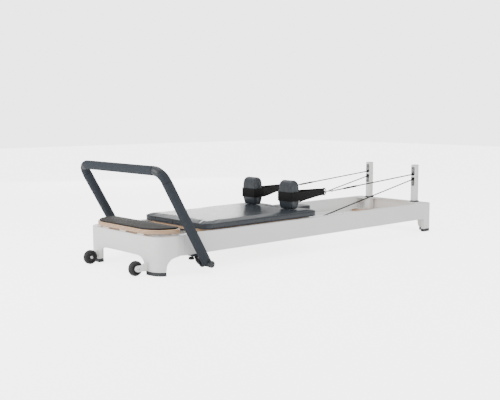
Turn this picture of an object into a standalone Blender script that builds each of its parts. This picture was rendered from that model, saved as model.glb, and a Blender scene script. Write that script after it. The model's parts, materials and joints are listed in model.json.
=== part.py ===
"""Pilates reformer: a low frame, a sprung carriage on rollers, and a folding footbar.

Metres, +Z up. +X runs from the foot end to the head end, and the origin is on the floor
under the middle of the machine. Left is +Y.
"""

import math

import bmesh
import bpy
from mathutils import Vector

GAP = 0.0003

# Frame
FRAME_TOP = 0.204
FRAME_BOTTOM = 0.092
RAIL_Y = 0.33
RAIL_INNER_Y = 0.29
RAIL_WALL = 0.003
LEDGE_Y = 0.262
LEDGE_TOP = 0.124
LEDGE_BOTTOM = 0.118
FOOT_END_X = -1.13
FOOT_SEAM_X = -0.95
HEAD_SEAM_X = 1.164
HEAD_END_X = 1.255
FOOT_CORNER_R = 0.11
FOOT_CORNER = (FOOT_END_X + FOOT_CORNER_R, 0.24)
HEAD_CORNER_R = 0.03
SOLE = 0.02
FLANGE = 0.04
FLANGE_THICK = 0.006
SKIRT_WALL = 0.008
LEG_WALL = 0.03
TRACK_TOP = LEDGE_TOP

# Standing platform
PLATFORM_X = (-1.135, -0.965)
PLATFORM_CORNER_R = 0.145
PLATFORM_HALF = 0.33
PLY_BOTTOM = 0.2147
PLY_TOP = 0.2367
MAT_TOP = 0.246

# Carriage
PAD_X = (-0.785, 0.105)
PAD_HALF = 0.303
BOARD_HALF = 0.255
BOARD_Z = (0.190, 0.208)
PAD_TOP = 0.244
NOTCH_HALF = 0.1
HEADREST_X = (0.0215, 0.27)
HEADREST_HALF = 0.0965
ROLLER_R = 0.022
ROLLER_Y = 0.276
ROLLER_X = {"foot": -0.70, "head": -0.02}
ROLLER_Z = TRACK_TOP + GAP + ROLLER_R
SPRING_Z = 0.15
SPRING_YS = (-0.135, -0.045, 0.045, 0.135)
SPRINGBAR_X = -0.87
ANCHOR_X = -0.45

# Shoulder rests and straps
REST_X = -0.019
REST_Y = 0.168
REST_HALF_Y = 0.06
REST_HALF_X = 0.037
REST_Z = (0.2505, 0.43)
POST_R = 0.008
POST_DY = 0.03
STRAP_Z = 0.3285
STRAP_HALF = 0.0265
STRAP_THICK = 0.002
RING_X = 0.262
RING_Y = 0.2
RING_Z = 0.34
RING_R = 0.003

# Risers and ropes
RISER_X = 1.212
RISER_Y = 0.21
RISER_HALF = (0.024, 0.021)
RISER_TOP = 0.471
RISER_WALL = 0.0025
PULLEY_Z = 0.387
PULLEY_PITCH = 0.0165
ROPE_R = 0.004
SPLICE_R = 0.0058
ROPE_START = (0.3706, 0.2, 0.341)
ROPE_END = (0.0805, 0.21, 0.152)
SPLICE_X = (0.45, 0.59)

# Footbar
PIVOT = (-0.845, 0.045)
ARM_LEAN = math.radians(29.6)
ARM_LENGTH = 0.5815
ARM_Y = 0.388
ARM_R = 0.0265
GRIP_R = 0.025
ELBOW_R = 0.06
PIVOT_TUBE_R = 0.018
CLAMP_BOTTOM = 0.08
PIN_UP = 0.034
PIN_R = 0.004

# Transport wheels
WHEEL_X = -1.19
WHEEL_Y = 0.225
WHEEL_Z = 0.0405
WHEEL_R = 0.04
WHEEL_HALF = 0.013
AXLE_R = 0.007

LEFT_RIGHT = (("left", 1), ("right", -1))

FINISHES = {
    "frame_white": ((0.80, 0.80, 0.79), 0.35, 0.0),
    "rail_white": ((0.76, 0.76, 0.75), 0.35, 0.0),
    "rubber": ((0.06, 0.065, 0.07), 0.8, 0.0),
    "tyre": ((0.035, 0.035, 0.04), 0.7, 0.0),
    "plywood": ((0.62, 0.42, 0.27), 0.45, 0.0),
    "grip_mat": ((0.035, 0.035, 0.033), 0.9, 0.0),
    "vinyl": ((0.11, 0.12, 0.13), 0.35, 0.0),
    "foam": ((0.07, 0.085, 0.10), 0.75, 0.0),
    "coated_steel": ((0.06, 0.068, 0.078), 0.4, 0.0),
    "steel": ((0.62, 0.62, 0.63), 0.3, 1.0),
    "webbing": ((0.01, 0.01, 0.01), 0.85, 0.0),
    "rope": ((0.012, 0.012, 0.012), 0.8, 0.0),
    "black_plastic": ((0.02, 0.02, 0.022), 0.45, 0.0),
    "spring_steel": ((0.45, 0.45, 0.46), 0.35, 1.0),
}


def clear_scene():
    for old in list(bpy.data.objects):
        bpy.data.objects.remove(old, do_unlink=True)


def finish(name):
    material = bpy.data.materials.get(name)
    if material is None:
        color, roughness, metallic = FINISHES[name]
        material = bpy.data.materials.new(name)
        material.use_nodes = True
        shader = material.node_tree.nodes["Principled BSDF"]
        shader.inputs["Base Color"].default_value = (*color, 1.0)
        shader.inputs["Roughness"].default_value = roughness
        shader.inputs["Metallic"].default_value = metallic
    return material


def piece(name, bm, finish_name, origin=(0.0, 0.0, 0.0)):
    """An object from bm, which holds world coordinates, with its origin at the point given."""
    bmesh.ops.recalc_face_normals(bm, faces=bm.faces)
    bmesh.ops.translate(bm, verts=bm.verts, vec=-Vector(origin))
    mesh = bpy.data.meshes.new(name)
    bm.to_mesh(mesh)
    bm.free()
    mesh.shade_smooth()
    mesh.set_sharp_from_angle(angle=math.radians(35))
    mesh.materials.append(finish(finish_name))
    made = bpy.data.objects.new(name, mesh)
    made.location = origin
    bpy.context.scene.collection.objects.link(made)
    return made


def carve(target, bm, operation="DIFFERENCE"):
    """Cuts bm's shape out of an object, or joins it on."""
    cutter = piece(f"{target.name}_{operation.lower()}", bm, "steel")
    cutter.hide_render = True
    cutter.display_type = "WIRE"
    cut = target.modifiers.new(operation.lower(), "BOOLEAN")
    cut.operation = operation
    cut.object = cutter


def rounded(target, width, segments=2, angle=40):
    bevel = target.modifiers.new("rounded", "BEVEL")
    bevel.width = width
    bevel.segments = segments
    bevel.limit_method = "ANGLE"
    bevel.angle_limit = math.radians(angle)


def skin(bm, rings, closed=False):
    """Faces between rings of equal size, with flat ends unless the rings meet again."""
    loops = [[bm.verts.new(p) for p in ring] for ring in rings]
    count = len(loops[0])
    pairs = list(zip(loops, loops[1:]))
    if closed:
        pairs.append((loops[-1], loops[0]))
    else:
        bm.faces.new(loops[0])
        bm.faces.new(loops[-1])
    for a, b in pairs:
        for i in range(count):
            j = (i + 1) % count
            bm.faces.new((a[i], a[j], b[j], b[i]))


def box(bm, low, high):
    plan = [(low[0], low[1]), (high[0], low[1]), (high[0], high[1]), (low[0], high[1])]
    slab(bm, plan, low[2], high[2])


def slab(bm, plan, low, high, axis="z"):
    """A plate of constant thickness. Its plan is in x and y, or x and z, or y and z."""
    place = {
        "z": lambda p, t: (p[0], p[1], t),
        "y": lambda p, t: (p[0], t, p[1]),
        "x": lambda p, t: (t, p[0], p[1]),
    }[axis]
    skin(bm, [[place(p, t) for p in plan] for t in (low, high)])


def clear_hole(r, sides):
    """The radius of a hole of that many sides that a round bar turns in with a gap."""
    return (r + GAP) / math.cos(math.pi / sides)


def arc(cx, cy, r, start, end, steps):
    """Points on a circle, the angles in degrees."""
    angles = [math.radians(start + (end - start) * i / steps) for i in range(steps + 1)]
    return [(cx + r * math.cos(a), cy + r * math.sin(a)) for a in angles]


def rounded_plan(x0, x1, y0, y1, radii, steps=5):
    """A rectangle with its corners rounded: radii at (x1,y1), (x0,y1), (x0,y0), (x1,y0)."""
    points = []
    for i, (x, y, r) in enumerate(zip((x1, x0, x0, x1), (y1, y1, y0, y0), radii)):
        cx = x - r if x == x1 else x + r
        cy = y - r if y == y1 else y + r
        points += arc(cx, cy, r, 90 * i, 90 * i + 90, steps)
    return points


def circle(center, u, v, r, sides):
    turn = 2 * math.pi / sides
    return [center + r * (math.cos(i * turn) * u + math.sin(i * turn) * v) for i in range(sides)]


def pipe(bm, path, radii, sides=16, closed=False):
    """A round tube along a path, with one radius or one for each point."""
    path = [Vector(p) for p in path]
    if isinstance(radii, float):
        radii = [radii] * len(path)
    last = len(path) - 1
    side = None
    rings = []
    for i, point in enumerate(path):
        before = path[i - 1] if closed or i else point
        after = path[(i + 1) % len(path)] if closed or i < last else point
        along = (after - before).normalized()
        if side is None:
            side = along.orthogonal()
        side = (side - side.dot(along) * along).normalized()
        rings.append(circle(point, side, along.cross(side), radii[i], sides))
    skin(bm, rings, closed)


def turned(bm, profile, center, axis, sides=24):
    """A closed profile of (radius, distance along the axis), turned about the axis."""
    u, v = {"x": ((0, 1, 0), (0, 0, 1)), "y": ((0, 0, 1), (1, 0, 0)), "z": ((1, 0, 0), (0, 1, 0))}[axis]
    u, v = Vector(u), Vector(v)
    along = u.cross(v)
    rings = [circle(Vector(center) + t * along, u, v, r, sides) for r, t in profile]
    skin(bm, rings, closed=True)



def solid(make, *args):
    """A mesh that holds what make draws."""
    bm = bmesh.new()
    make(bm, *args)
    return bm


def both_sides(make):
    """A mesh that holds what make draws on each side."""
    bm = bmesh.new()
    for _, side in LEFT_RIGHT:
        make(bm, side)
    return bm


def smoothstep(t):
    t = min(1.0, max(0.0, t))
    return t * t * (3 - 2 * t)


def between(points, s):
    """The value at s of a line through (s, value) points."""
    if s <= points[0][0]:
        return points[0][1]
    for (s0, v0), (s1, v1) in zip(points, points[1:]):
        if s <= s1:
            return v0 + (v1 - v0) * (s - s0) / (s1 - s0)
    return points[-1][1]


# The end castings are an outline in plan that carries an upright wall and a flange.


def lengths(outline):
    """How far along the outline each of its points is."""
    far = [0.0]
    for a, b in zip(outline, outline[1:]):
        far.append(far[-1] + math.dist(a, b))
    return far


def inward(outline):
    """The unit vector into the machine at each point of the outline."""
    found = []
    for i in range(len(outline)):
        a, b = outline[max(i - 1, 0)], outline[min(i + 1, len(outline) - 1)]
        dx, dy = b[0] - a[0], b[1] - a[1]
        long = math.hypot(dx, dy)
        found.append((-dy / long, dx / long))
    found[0] = found[-1] = (0.0, 0.0)
    return found


def casting_rings(outline, bottoms, walls):
    ways = inward(outline)
    ways[0] = (0.0, -1.0) if outline[0][1] > 0 else (0.0, 1.0)
    ways[-1] = (0.0, -1.0) if outline[-1][1] > 0 else (0.0, 1.0)
    rings = []
    for (x, y), (ix, iy), bottom, wall in zip(outline, ways, bottoms, walls):
        section = [
            (0.0, FRAME_TOP - 0.002),
            (0.0, bottom),
            (wall, bottom),
            (wall, FRAME_TOP - FLANGE_THICK),
            (FLANGE, FRAME_TOP - FLANGE_THICK),
            (FLANGE, FRAME_TOP),
            (0.002, FRAME_TOP),
        ]
        rings.append([(x + ix * d, y + iy * d, z) for d, z in section])
    return rings


def soft_corner(cx, cy, r, start, end, steps):
    """A quarter of a superellipse: fuller than an arc of the same reach."""
    points = []
    for a in angles(start, end, steps):
        c, s = math.cos(a), math.sin(a)
        x = math.copysign(abs(c) ** (2 / 3), c)
        y = math.copysign(abs(s) ** (2 / 3), s)
        points.append((cx + r * x, cy + r * y))
    return points


def foot_outline():
    """The foot end in plan, from the left seam round the front to the right seam."""
    cx, cy = FOOT_CORNER
    bulge = cy + FOOT_CORNER_R
    seam = [
        (FOOT_SEAM_X + (cx - FOOT_SEAM_X) * t, RAIL_Y + (bulge - RAIL_Y) * smoothstep(t))
        for t in (0, 0.25, 0.5, 0.75)
    ]
    corner = soft_corner(cx, cy, FOOT_CORNER_R, 90, 180, 16)
    front = [(FOOT_END_X, y) for y in (0.215, 0.2, 0.185, 0.17, 0.15, 0.125, 0.1, 0.075)]
    half = seam + corner + front
    return half + [(FOOT_END_X, 0.0)] + [(x, -y) for x, y in reversed(half)]


# How far along the corner from 45 degrees, towards the seam, and the skirt's lower edge there.
FOOT_SKIRT = (
    (-0.25, 0.0955),
    (-0.19, 0.095),
    (-0.165, 0.0935),
    (-0.149, 0.0895),
    (-0.135, 0.081),
    (-0.121, 0.067),
    (-0.11, 0.05),
    (-0.1, 0.0203),
    (0.033, 0.0203),
    (0.037, 0.0487),
    (0.047, 0.0683),
    (0.07, 0.087),
    (0.103, 0.0939),
    (0.13, 0.0955),
    (0.166, 0.0925),
)
FOOT_SOLE = (-0.1, 0.033)

# The pads cast on the foot end's flange that the platform is screwed to, in plan.
PLATFORM_PADS = (
    ((-1.12, -0.2), (-1.098, -0.14)),
    ((-1.12, -0.03), (-1.098, 0.03)),
    ((-1.12, 0.14), (-1.098, 0.2)),
    ((-1.02, 0.3), (-0.97, 0.318)),
    ((-1.02, -0.318), (-0.97, -0.3)),
)


def corner_length(outline):
    """How far along the outline the middle of its first corner is."""
    middle = max(range(len(outline)), key=lambda i: outline[i][1] - outline[i][0])
    return lengths(outline)[middle]


def foot_end_casting():
    outline = foot_outline()
    far = lengths(outline)
    corner = corner_length(outline)
    bottoms, walls = [], []
    for s in far:
        t = corner - min(s, far[-1] - s)
        bottoms.append(between(FOOT_SKIRT, t))
        leg = smoothstep((0.07 - bottoms[-1]) / 0.05)
        walls.append(SKIRT_WALL + (LEG_WALL - SKIRT_WALL) * leg)
    bm = bmesh.new()
    skin(bm, casting_rings(outline, bottoms, walls))
    casting = piece("foot_end_casting", bm, "frame_white")
    for low, high in PLATFORM_PADS:
        bm = bmesh.new()
        box(bm, (*low, FRAME_TOP - 0.003), (*high, PLY_BOTTOM - GAP))
        carve(casting, bm, "UNION")


def head_outline():
    """The head end in plan, from the right seam round the back to the left seam."""
    cx, cy = HEAD_END_X - HEAD_CORNER_R, RAIL_Y - HEAD_CORNER_R
    side = [(HEAD_SEAM_X + d, -RAIL_Y) for d in (0.0, 0.004, 0.005, 0.03)]
    corner = arc(cx, -cy, HEAD_CORNER_R, -90, 0, 8)
    back = [(HEAD_END_X, -y) for y in (0.27, 0.25, 0.24, 0.235, 0.225, 0.21, 0.19, 0.1)]
    half = side + corner + back
    return half + [(HEAD_END_X, 0.0)] + [(x, -y) for x, y in reversed(half)]


def head_bottom(x, y):
    """The lower edge of the head end: a leg under each corner and a skirt between."""
    if x < HEAD_SEAM_X + 0.0045:
        return FRAME_BOTTOM
    return 0.0203 + (FRAME_BOTTOM - 0.0203) * smoothstep((0.245 - abs(y)) / 0.05)


def head_end_casting():
    outline = head_outline()
    bottoms = [head_bottom(x, y) for x, y in outline]
    walls = [0.01 + 0.014 * smoothstep((0.07 - b) / 0.05) for b in bottoms]
    bm = bmesh.new()
    skin(bm, head_rings(outline, bottoms, walls))
    casting = piece("head_end_casting", bm, "frame_white")
    carve(casting, both_sides(gusset), "UNION")
    carve(casting, both_sides(socket), "UNION")
    carve(casting, both_sides(riser_hole))


def head_rings(outline, bottoms, walls):
    """The head end's wall, with a narrow lip along its top."""
    ways = inward(outline)
    ways[0], ways[-1] = (0.0, 1.0), (0.0, -1.0)
    lip = 0.026
    rings = []
    for (x, y), (ix, iy), bottom, wall in zip(outline, ways, bottoms, walls):
        section = [
            (0.0, FRAME_TOP - 0.002),
            (0.0, bottom),
            (wall, bottom),
            (wall, FRAME_TOP - FLANGE_THICK),
            (lip, FRAME_TOP - FLANGE_THICK),
            (lip, FRAME_TOP),
            (0.002, FRAME_TOP),
        ]
        rings.append([(x + ix * d, y + iy * d, z) for d, z in section])
    return rings


def gusset(bm, side):
    """The plate that ties the riser's socket into one corner of the head end."""
    inner = arc(HEAD_SEAM_X, 0.13, 0.06, 90, 15, 6)
    plan = [(HEAD_END_X - 0.012, 0.09), (HEAD_END_X - 0.012, RAIL_Y - 0.006)]
    plan += [(HEAD_SEAM_X, RAIL_Y - 0.006)] + [(x, y) for x, y in inner]
    plan = [(x, side * y) for x, y in plan]
    slab(bm, plan, FRAME_TOP - 0.008, FRAME_TOP - 0.0004)


def socket(bm, side):
    slab(bm, riser_plan(side, 0.0045, 0.014), 0.1145, FRAME_TOP - 0.001)


def riser_hole(bm, side):
    slab(bm, riser_plan(side, GAP, 0.01), 0.1, 0.25)


def rail(name, side):
    """A hollow extrusion with a ledge inside that carries the roller track."""
    r = 0.004
    outer = [(RAIL_Y, FRAME_BOTTOM), *arc(RAIL_Y - r, FRAME_TOP - r, r, 0, 90, 3)]
    outer += arc(RAIL_INNER_Y + r, FRAME_TOP - r, r, 90, 180, 3)
    outer += [(RAIL_INNER_Y, LEDGE_TOP), (LEDGE_Y, LEDGE_TOP)]
    outer += [(LEDGE_Y, LEDGE_BOTTOM), (RAIL_INNER_Y, LEDGE_BOTTOM), (RAIL_INNER_Y, FRAME_BOTTOM)]
    bm = bmesh.new()
    plan = [(side * y, z) for y, z in outer]
    slab(bm, plan, FOOT_SEAM_X + GAP, HEAD_SEAM_X - GAP, axis="x")
    made = piece(f"rail_{name}", bm, "rail_white")
    hollow = bmesh.new()
    ys = sorted((side * (RAIL_Y - RAIL_WALL), side * (RAIL_INNER_Y + RAIL_WALL)))
    box(
        hollow,
        (FOOT_SEAM_X - 0.1, ys[0], FRAME_BOTTOM + RAIL_WALL),
        (HEAD_SEAM_X + 0.1, ys[1], FRAME_TOP - RAIL_WALL),
    )
    carve(made, hollow)


def cross_member():
    """The square tube under the ledges that ties the rails together."""
    bm = bmesh.new()
    box(bm, (0.4875, -0.2895, 0.0925), (0.5125, 0.2895, 0.1175))
    piece("cross_member", bm, "rail_white")


def turned_solid(bm, profile, center, axis, sides=24):
    """A profile of (radius, distance along the axis), turned and capped at both ends."""
    u, v = {"x": ((0, 1, 0), (0, 0, 1)), "y": ((0, 0, 1), (1, 0, 0)), "z": ((1, 0, 0), (0, 1, 0))}[axis]
    u, v = Vector(u), Vector(v)
    along = u.cross(v)
    skin(bm, [circle(Vector(center) + t * along, u, v, r, sides) for r, t in profile])


def foot_end_foot(name, side):
    outline = foot_outline()
    far = lengths(outline)
    corner = corner_length(outline)
    rings = []
    for (x, y), (ix, iy), s in zip(outline, inward(outline), far):
        t = corner - min(s, far[-1] - s)
        if FOOT_SOLE[0] - 0.001 <= t <= FOOT_SOLE[1] + 0.001 and y * side > 0:
            section = [(-0.001, 0.0), (0.0335, 0.0), (0.0325, SOLE), (0.0, SOLE)]
            rings.append([(x + ix * d, y + iy * d, z) for d, z in section])
    bm = bmesh.new()
    skin(bm, rings)
    piece(f"foot_end_foot_{name}", bm, "rubber")


def head_end_foot(name, side):
    x0, x1, y0, y1 = HEAD_SEAM_X + 0.004, HEAD_END_X, 0.245, RAIL_Y
    plan = [(x0, y1), (x0, y1 - 0.026), (x1 - 0.034, y1 - 0.026), (x1 - 0.026, y1 - 0.034)]
    plan += [(x1 - 0.026, y0), (x1, y0)]
    plan += arc(x1 - HEAD_CORNER_R, y1 - HEAD_CORNER_R, HEAD_CORNER_R, 0, 90, 5)
    bm = bmesh.new()
    slab(bm, [(x, side * y) for x, y in plan], 0.0, SOLE)
    piece(f"head_end_foot_{name}", bm, "rubber")


def springbar():
    """The bar across the foot end, with a hook for each spring."""
    bm = bmesh.new()
    box(bm, (SPRINGBAR_X - 0.004, -0.2895, 0.132), (SPRINGBAR_X + 0.004, 0.2895, 0.168))
    bar = piece("springbar", bm, "steel")
    hook = [(0.008, -0.002), (0.008, 0.006), (0.0045, 0.007), (0.0045, 0.016)]
    bm = bmesh.new()
    for y in SPRING_YS:
        turned_solid(bm, hook, (SPRINGBAR_X + 0.004, y, SPRING_Z), "x", 8)
    carve(bar, bm, "UNION")


def springs():
    start = SPRINGBAR_X + 0.0205
    long = ANCHOR_X - 0.0185 - start
    profile = [(0.003, 0.0), (0.0105, 0.03), (0.0105, long - 0.03), (0.003, long)]
    for number, y in enumerate(SPRING_YS, 1):
        bm = bmesh.new()
        turned_solid(bm, profile, (start, y, SPRING_Z), "x", 12)
        piece(f"spring_{number}", bm, "spring_steel")


def platform():
    x0, x1 = PLATFORM_X
    half = PLATFORM_HALF
    r = PLATFORM_CORNER_R
    radii = [0.025, r, r, 0.025]
    bm = bmesh.new()
    slab(bm, rounded_plan(x0, x1, -half, half, radii, 8), PLY_BOTTOM, PLY_TOP)
    piece("platform_board", bm, "plywood")
    bm = bmesh.new()
    radii = [0.012, r - 0.012, r - 0.012, 0.012]
    plan = rounded_plan(x0 + 0.006, x1 - 0.006, 0.016 - half, half - 0.016, radii, 8)
    slab(bm, plan, PLY_TOP + GAP, MAT_TOP)
    piece("platform_grip_mat", bm, "grip_mat")

def wheel_arm(name, side):
    """The arm that carries a transport wheel beside the leg, with the wheel's axle bolt."""
    y0, y1 = WHEEL_Y + 0.0165, WHEEL_Y + 0.0285
    plan = arc(WHEEL_X, WHEEL_Z, 0.016, 90, 270, 8)
    plan += [(-1.1305, WHEEL_Z - 0.016), (-1.1305, WHEEL_Z + 0.03), (-1.15, WHEEL_Z + 0.03)]
    bm = bmesh.new()
    slab(bm, plan, side * y0, side * y1, axis="y")
    arm = piece(f"wheel_arm_{name}", bm, "frame_white")
    bm = bmesh.new()
    ends = [(WHEEL_X, side * y, WHEEL_Z) for y in (WHEEL_Y - 0.0165, y1 + 0.004)]
    pipe(bm, ends, AXLE_R, 12)
    carve(arm, bm, "UNION")


def wheel(name, side):
    center = (WHEEL_X, side * WHEEL_Y, WHEEL_Z)
    h = WHEEL_HALF
    tyre = [(0.0283, -h), (0.036, -h), (WHEEL_R, -h + 0.005)]
    tyre += [(r, -t) for r, t in reversed(tyre)]
    bm = bmesh.new()
    turned(bm, tyre, center, "y", 24)
    piece(f"wheel_tyre_{name}", bm, "tyre", center)
    bore = clear_hole(AXLE_R, 12)
    hub = [(bore, -h - 0.001), (0.0135, -h - 0.001), (0.028, -h + 0.003)]
    hub += [(r, -t) for r, t in reversed(hub)]
    bm = bmesh.new()
    turned(bm, hub, center, "y", 24)
    piece(f"wheel_hub_{name}", bm, "black_plastic", center)


def riser_plan(side, grow, corner_r):
    hx, hy = (h + grow for h in RISER_HALF)
    plan = rounded_plan(-hx, hx, -hy, hy, [corner_r] * 4, 3)
    return [(RISER_X + x, side * RISER_Y + y) for x, y in plan]


def riser_tube(name, side):
    """A post with its pulley's axle riveted through it and its top closed."""
    tube = piece(f"riser_tube_{name}", solid(riser_outside, side), "frame_white")
    for cut in (riser_inside, riser_slots):
        carve(tube, solid(cut, side))
    carve(tube, solid(pulley_axle, side), "UNION")


def riser_outside(bm, side):
    slab(bm, riser_plan(side, 0, 0.01), 0.118, RISER_TOP)


def riser_inside(bm, side):
    slab(bm, riser_plan(side, -RISER_WALL, 0.008), 0.1, RISER_TOP - 0.004)


def riser_slots(bm, side):
    """The two slots that the rope runs through."""
    y = side * RISER_Y
    face = RISER_X - RISER_HALF[0]
    for low, high in ((0.319, 0.381), (0.397, 0.456)):
        slot = rounded_plan(y - 0.0135, y + 0.0135, low, high, [0.006] * 4, 3)
        slab(bm, slot, face - 0.01, face + 0.0015 + RISER_WALL, axis="x")


def pulley_axle(bm, side):
    y = side * RISER_Y
    pipe(bm, [(RISER_X, y - 0.0235, PULLEY_Z), (RISER_X, y + 0.0235, PULLEY_Z)], 0.004, 12)


def riser_gasket(name, side):
    bm = bmesh.new()
    slab(bm, riser_plan(side, 0.006, 0.014), FRAME_TOP + GAP, 0.2105)
    carve(piece(f"riser_gasket_{name}", bm, "rubber"), solid(riser_hole, side))


def pulley(name, side):
    center = (RISER_X, side * RISER_Y, PULLEY_Z)
    groove = PULLEY_PITCH - ROPE_R - GAP
    profile = [(clear_hole(0.004, 12), -0.008), (0.0202, -0.008), (groove, -0.0028)]
    profile += [(r, -t) for r, t in reversed(profile)]
    bm = bmesh.new()
    turned(bm, profile, center, "y", 20)
    piece(f"pulley_{name}", bm, "black_plastic", center)


def head_shelf():
    bm = bmesh.new()
    half = RAIL_INNER_Y - 0.0008
    plan = rounded_plan(1.1, HEAD_END_X - 0.0253, -half, half, [0.004, 0.02, 0.02, 0.004], 4)
    slab(bm, plan, 0.1, 0.112)
    made = piece("head_shelf", bm, "plywood")
    corners = bmesh.new()
    for side in (1, -1):
        low, high = sorted((side * 0.23, side * 0.31))
        box(corners, (HEAD_SEAM_X - 0.004, low, 0.09), (HEAD_END_X + 0.02, high, 0.13))
    carve(made, corners)


# Carriage



def post_holes():
    bm = bmesh.new()
    for x, y in post_places():
        pipe(bm, [(x, y, 0.15), (x, y, 0.27)], clear_hole(POST_R, 8), 8)
    return bm


def post_places():
    return [(REST_X, side * REST_Y + dy) for side in (1, -1) for dy in (-POST_DY, POST_DY)]


def carriage_layers():
    x0, x1 = PAD_X
    bm = bmesh.new()
    slab(bm, carriage_outline(x0 + 0.012, x1 - 0.008, BOARD_HALF, 0.018, 0.04, 0.04), *BOARD_Z)
    carve(piece("carriage_board", bm, "plywood"), post_holes())
    bm = bmesh.new()
    slab(bm, carriage_outline(x0, x1, PAD_HALF, 0.02, 0.06, 0.045), BOARD_Z[1] + GAP, PAD_TOP)
    pad = piece("carriage_pad", bm, "vinyl")
    rounded(pad, 0.005, 2, 60)
    carve(pad, post_holes())


def carriage_outline(x0, x1, half, notch_x, foot_r, head_r):
    """A carriage layer in plan, counter-clockwise, with a notch for the headrest."""
    lip_r = 0.02
    left = [(notch_x, NOTCH_HALF)]
    left += arc(x1 - lip_r, NOTCH_HALF + lip_r, lip_r, -90, 0, 4)
    left += arc(x1 - head_r, half - head_r, head_r, 0, 90, 6)
    left += arc(x0 + foot_r, half - foot_r, foot_r, 90, 180, 6)
    return left + [(x, -y) for x, y in reversed(left)]


def headrest():
    x0, x1 = HEADREST_X
    pivot = (0.0208, 0.0, PAD_TOP)
    half = HEADREST_HALF
    bm = bmesh.new()
    slab(bm, rounded_plan(x0, x1, -half, half, [0.04, 0.004, 0.004, 0.04], 6), BOARD_Z[1] + GAP, PAD_TOP)
    rounded(piece("headrest_pad", bm, "vinyl", pivot), 0.005, 2, 60)
    bm = bmesh.new()
    plan = rounded_plan(x0 + 0.001, x1 - 0.012, 0.01 - half, half - 0.01, [0.03, 0.004, 0.004, 0.03], 5)
    slab(bm, plan, *BOARD_Z)
    piece("headrest_board", bm, "plywood", pivot)


def crossbar(where):
    """The bar under the board that carries a pair of rollers."""
    x = ROLLER_X[where]
    bm = bmesh.new()
    box(bm, (x - 0.015, -0.2485, 0.168), (x + 0.015, 0.2485, BOARD_Z[0] - GAP))
    bar = piece(f"carriage_crossbar_{where}", bm, "coated_steel")
    for _, side in LEFT_RIGHT:
        bracket = bmesh.new()
        plan = [(x - 0.015, 0.185), (x - 0.012, 0.132), (x + 0.012, 0.132), (x + 0.015, 0.185)]
        slab(bracket, plan, side * 0.247, side * 0.253, axis="y")
        carve(bar, bracket, "UNION")
        axle = bmesh.new()
        pipe(axle, [(x, side * y, ROLLER_Z) for y in (0.25, 0.2865)], 0.004, 12)
        carve(bar, axle, "UNION")
        if where == "head":
            carve(bar, solid(rope_cleat, side), "UNION")


def rope_cleat(bm, side):
    """The arm from the head crossbar that holds the rope's end."""
    x, y, z = ROPE_END[0], side * ROPE_END[1], ROPE_END[2]
    back, tip = ROLLER_X["head"], x - 0.0045
    plan = [(back, 0.186), (back, 0.172), (tip - 0.026, 0.172), (tip - 0.026, z - 0.009)]
    plan += [(tip, z - 0.009), (tip, 0.186)]
    slab(bm, plan, y - 0.009, y + 0.009, axis="y")


def spring_anchor_bar():
    """The bar under the carriage, with a socket for each spring."""
    bm = bmesh.new()
    box(bm, (ANCHOR_X, -0.19, 0.137), (ANCHOR_X + 0.006, 0.19, BOARD_Z[0] - GAP))
    bar = piece("spring_anchor_bar", bm, "coated_steel")
    bm = bmesh.new()
    for y in SPRING_YS:
        turned_solid(bm, [(0.008, 0.0), (0.008, 0.018)], (ANCHOR_X - 0.0163, y, SPRING_Z), "x", 8)
    carve(bar, bm, "UNION")


def roller(where, name, side):
    center = (ROLLER_X[where], side * ROLLER_Y, ROLLER_Z)
    bore = clear_hole(0.004, 12)
    profile = [(bore, -0.008), (ROLLER_R, -0.008), (ROLLER_R, 0.008), (bore, 0.008)]
    bm = bmesh.new()
    turned(bm, profile, center, "y", 24)
    piece(f"roller_{where}_{name}", bm, "tyre", center)


def shoulder_rest(name, side):
    low, high = REST_Z
    hx = REST_HALF_X
    y = side * REST_Y
    crown = [(REST_X + hx * math.cos(a), high - hx * 0.9 + hx * 0.9 * math.sin(a)) for a in angles(0, 180, 10)]
    foot = [(REST_X - hx * 0.93, low + 0.03), (REST_X - hx * 0.72, low + 0.006), (REST_X - hx * 0.6, low)]
    plan = crown + foot + [(2 * REST_X - x, z) for x, z in reversed(foot)]
    bm = bmesh.new()
    slab(bm, plan, y - REST_HALF_Y, y + REST_HALF_Y, axis="y")
    rest = piece(f"shoulder_rest_{name}", bm, "vinyl", (REST_X, y, low))
    rounded(rest, 0.007, 2, 50)
    bm = bmesh.new()
    for dy in (-POST_DY, POST_DY):
        pipe(bm, [(REST_X, y + dy, BOARD_Z[0] + 0.001), (REST_X, y + dy, low + 0.03)], POST_R, 8)
    carve(rest, bm, "UNION")


def angles(start, end, steps):
    return [math.radians(start + (end - start) * i / steps) for i in range(steps + 1)]


def strap_loop(bm, side):
    """A webbing band round the shoulder rest, drawn out to the ring at its head end."""
    inner = strap_plan(0.0)
    outer = strap_plan(STRAP_THICK)
    rings = []
    for (xi, yi), (xo, yo) in zip(inner, outer):
        ends = [strap_edges(xi), strap_edges(xo)]
        rings.append(
            [
                (xi, side * yi, ends[0][0]),
                (xo, side * yo, ends[1][0]),
                (xo, side * yo, ends[1][1]),
                (xi, side * yi, ends[0][1]),
            ]
        )
    skin(bm, rings, closed=True)


def strap_plan(grow):
    r = 0.006
    x0 = REST_X - REST_HALF_X - GAP
    y0, y1 = REST_Y - REST_HALF_Y - GAP, REST_Y + REST_HALF_Y + GAP
    points = arc(x0 + r, y1 - r, r + grow, 180, 100, 4)
    points += [(0.02, y1 + grow)]
    points += arc(RING_X, RING_Y, 0.0045 + grow, 85, -70, 6)
    points += [(0.02, y0 - grow)]
    points += arc(x0 + r, y0 + r, r + grow, 260, 180, 4)
    return points


def strap_edges(x):
    """The band's lower and upper edge: it narrows and rises towards its ring."""
    t = smoothstep((x - 0.02) / (RING_X - 0.02))
    middle = STRAP_Z + (RING_Z - STRAP_Z) * t
    half = STRAP_HALF + (0.0185 - STRAP_HALF) * t
    return middle - half, middle + half


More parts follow.
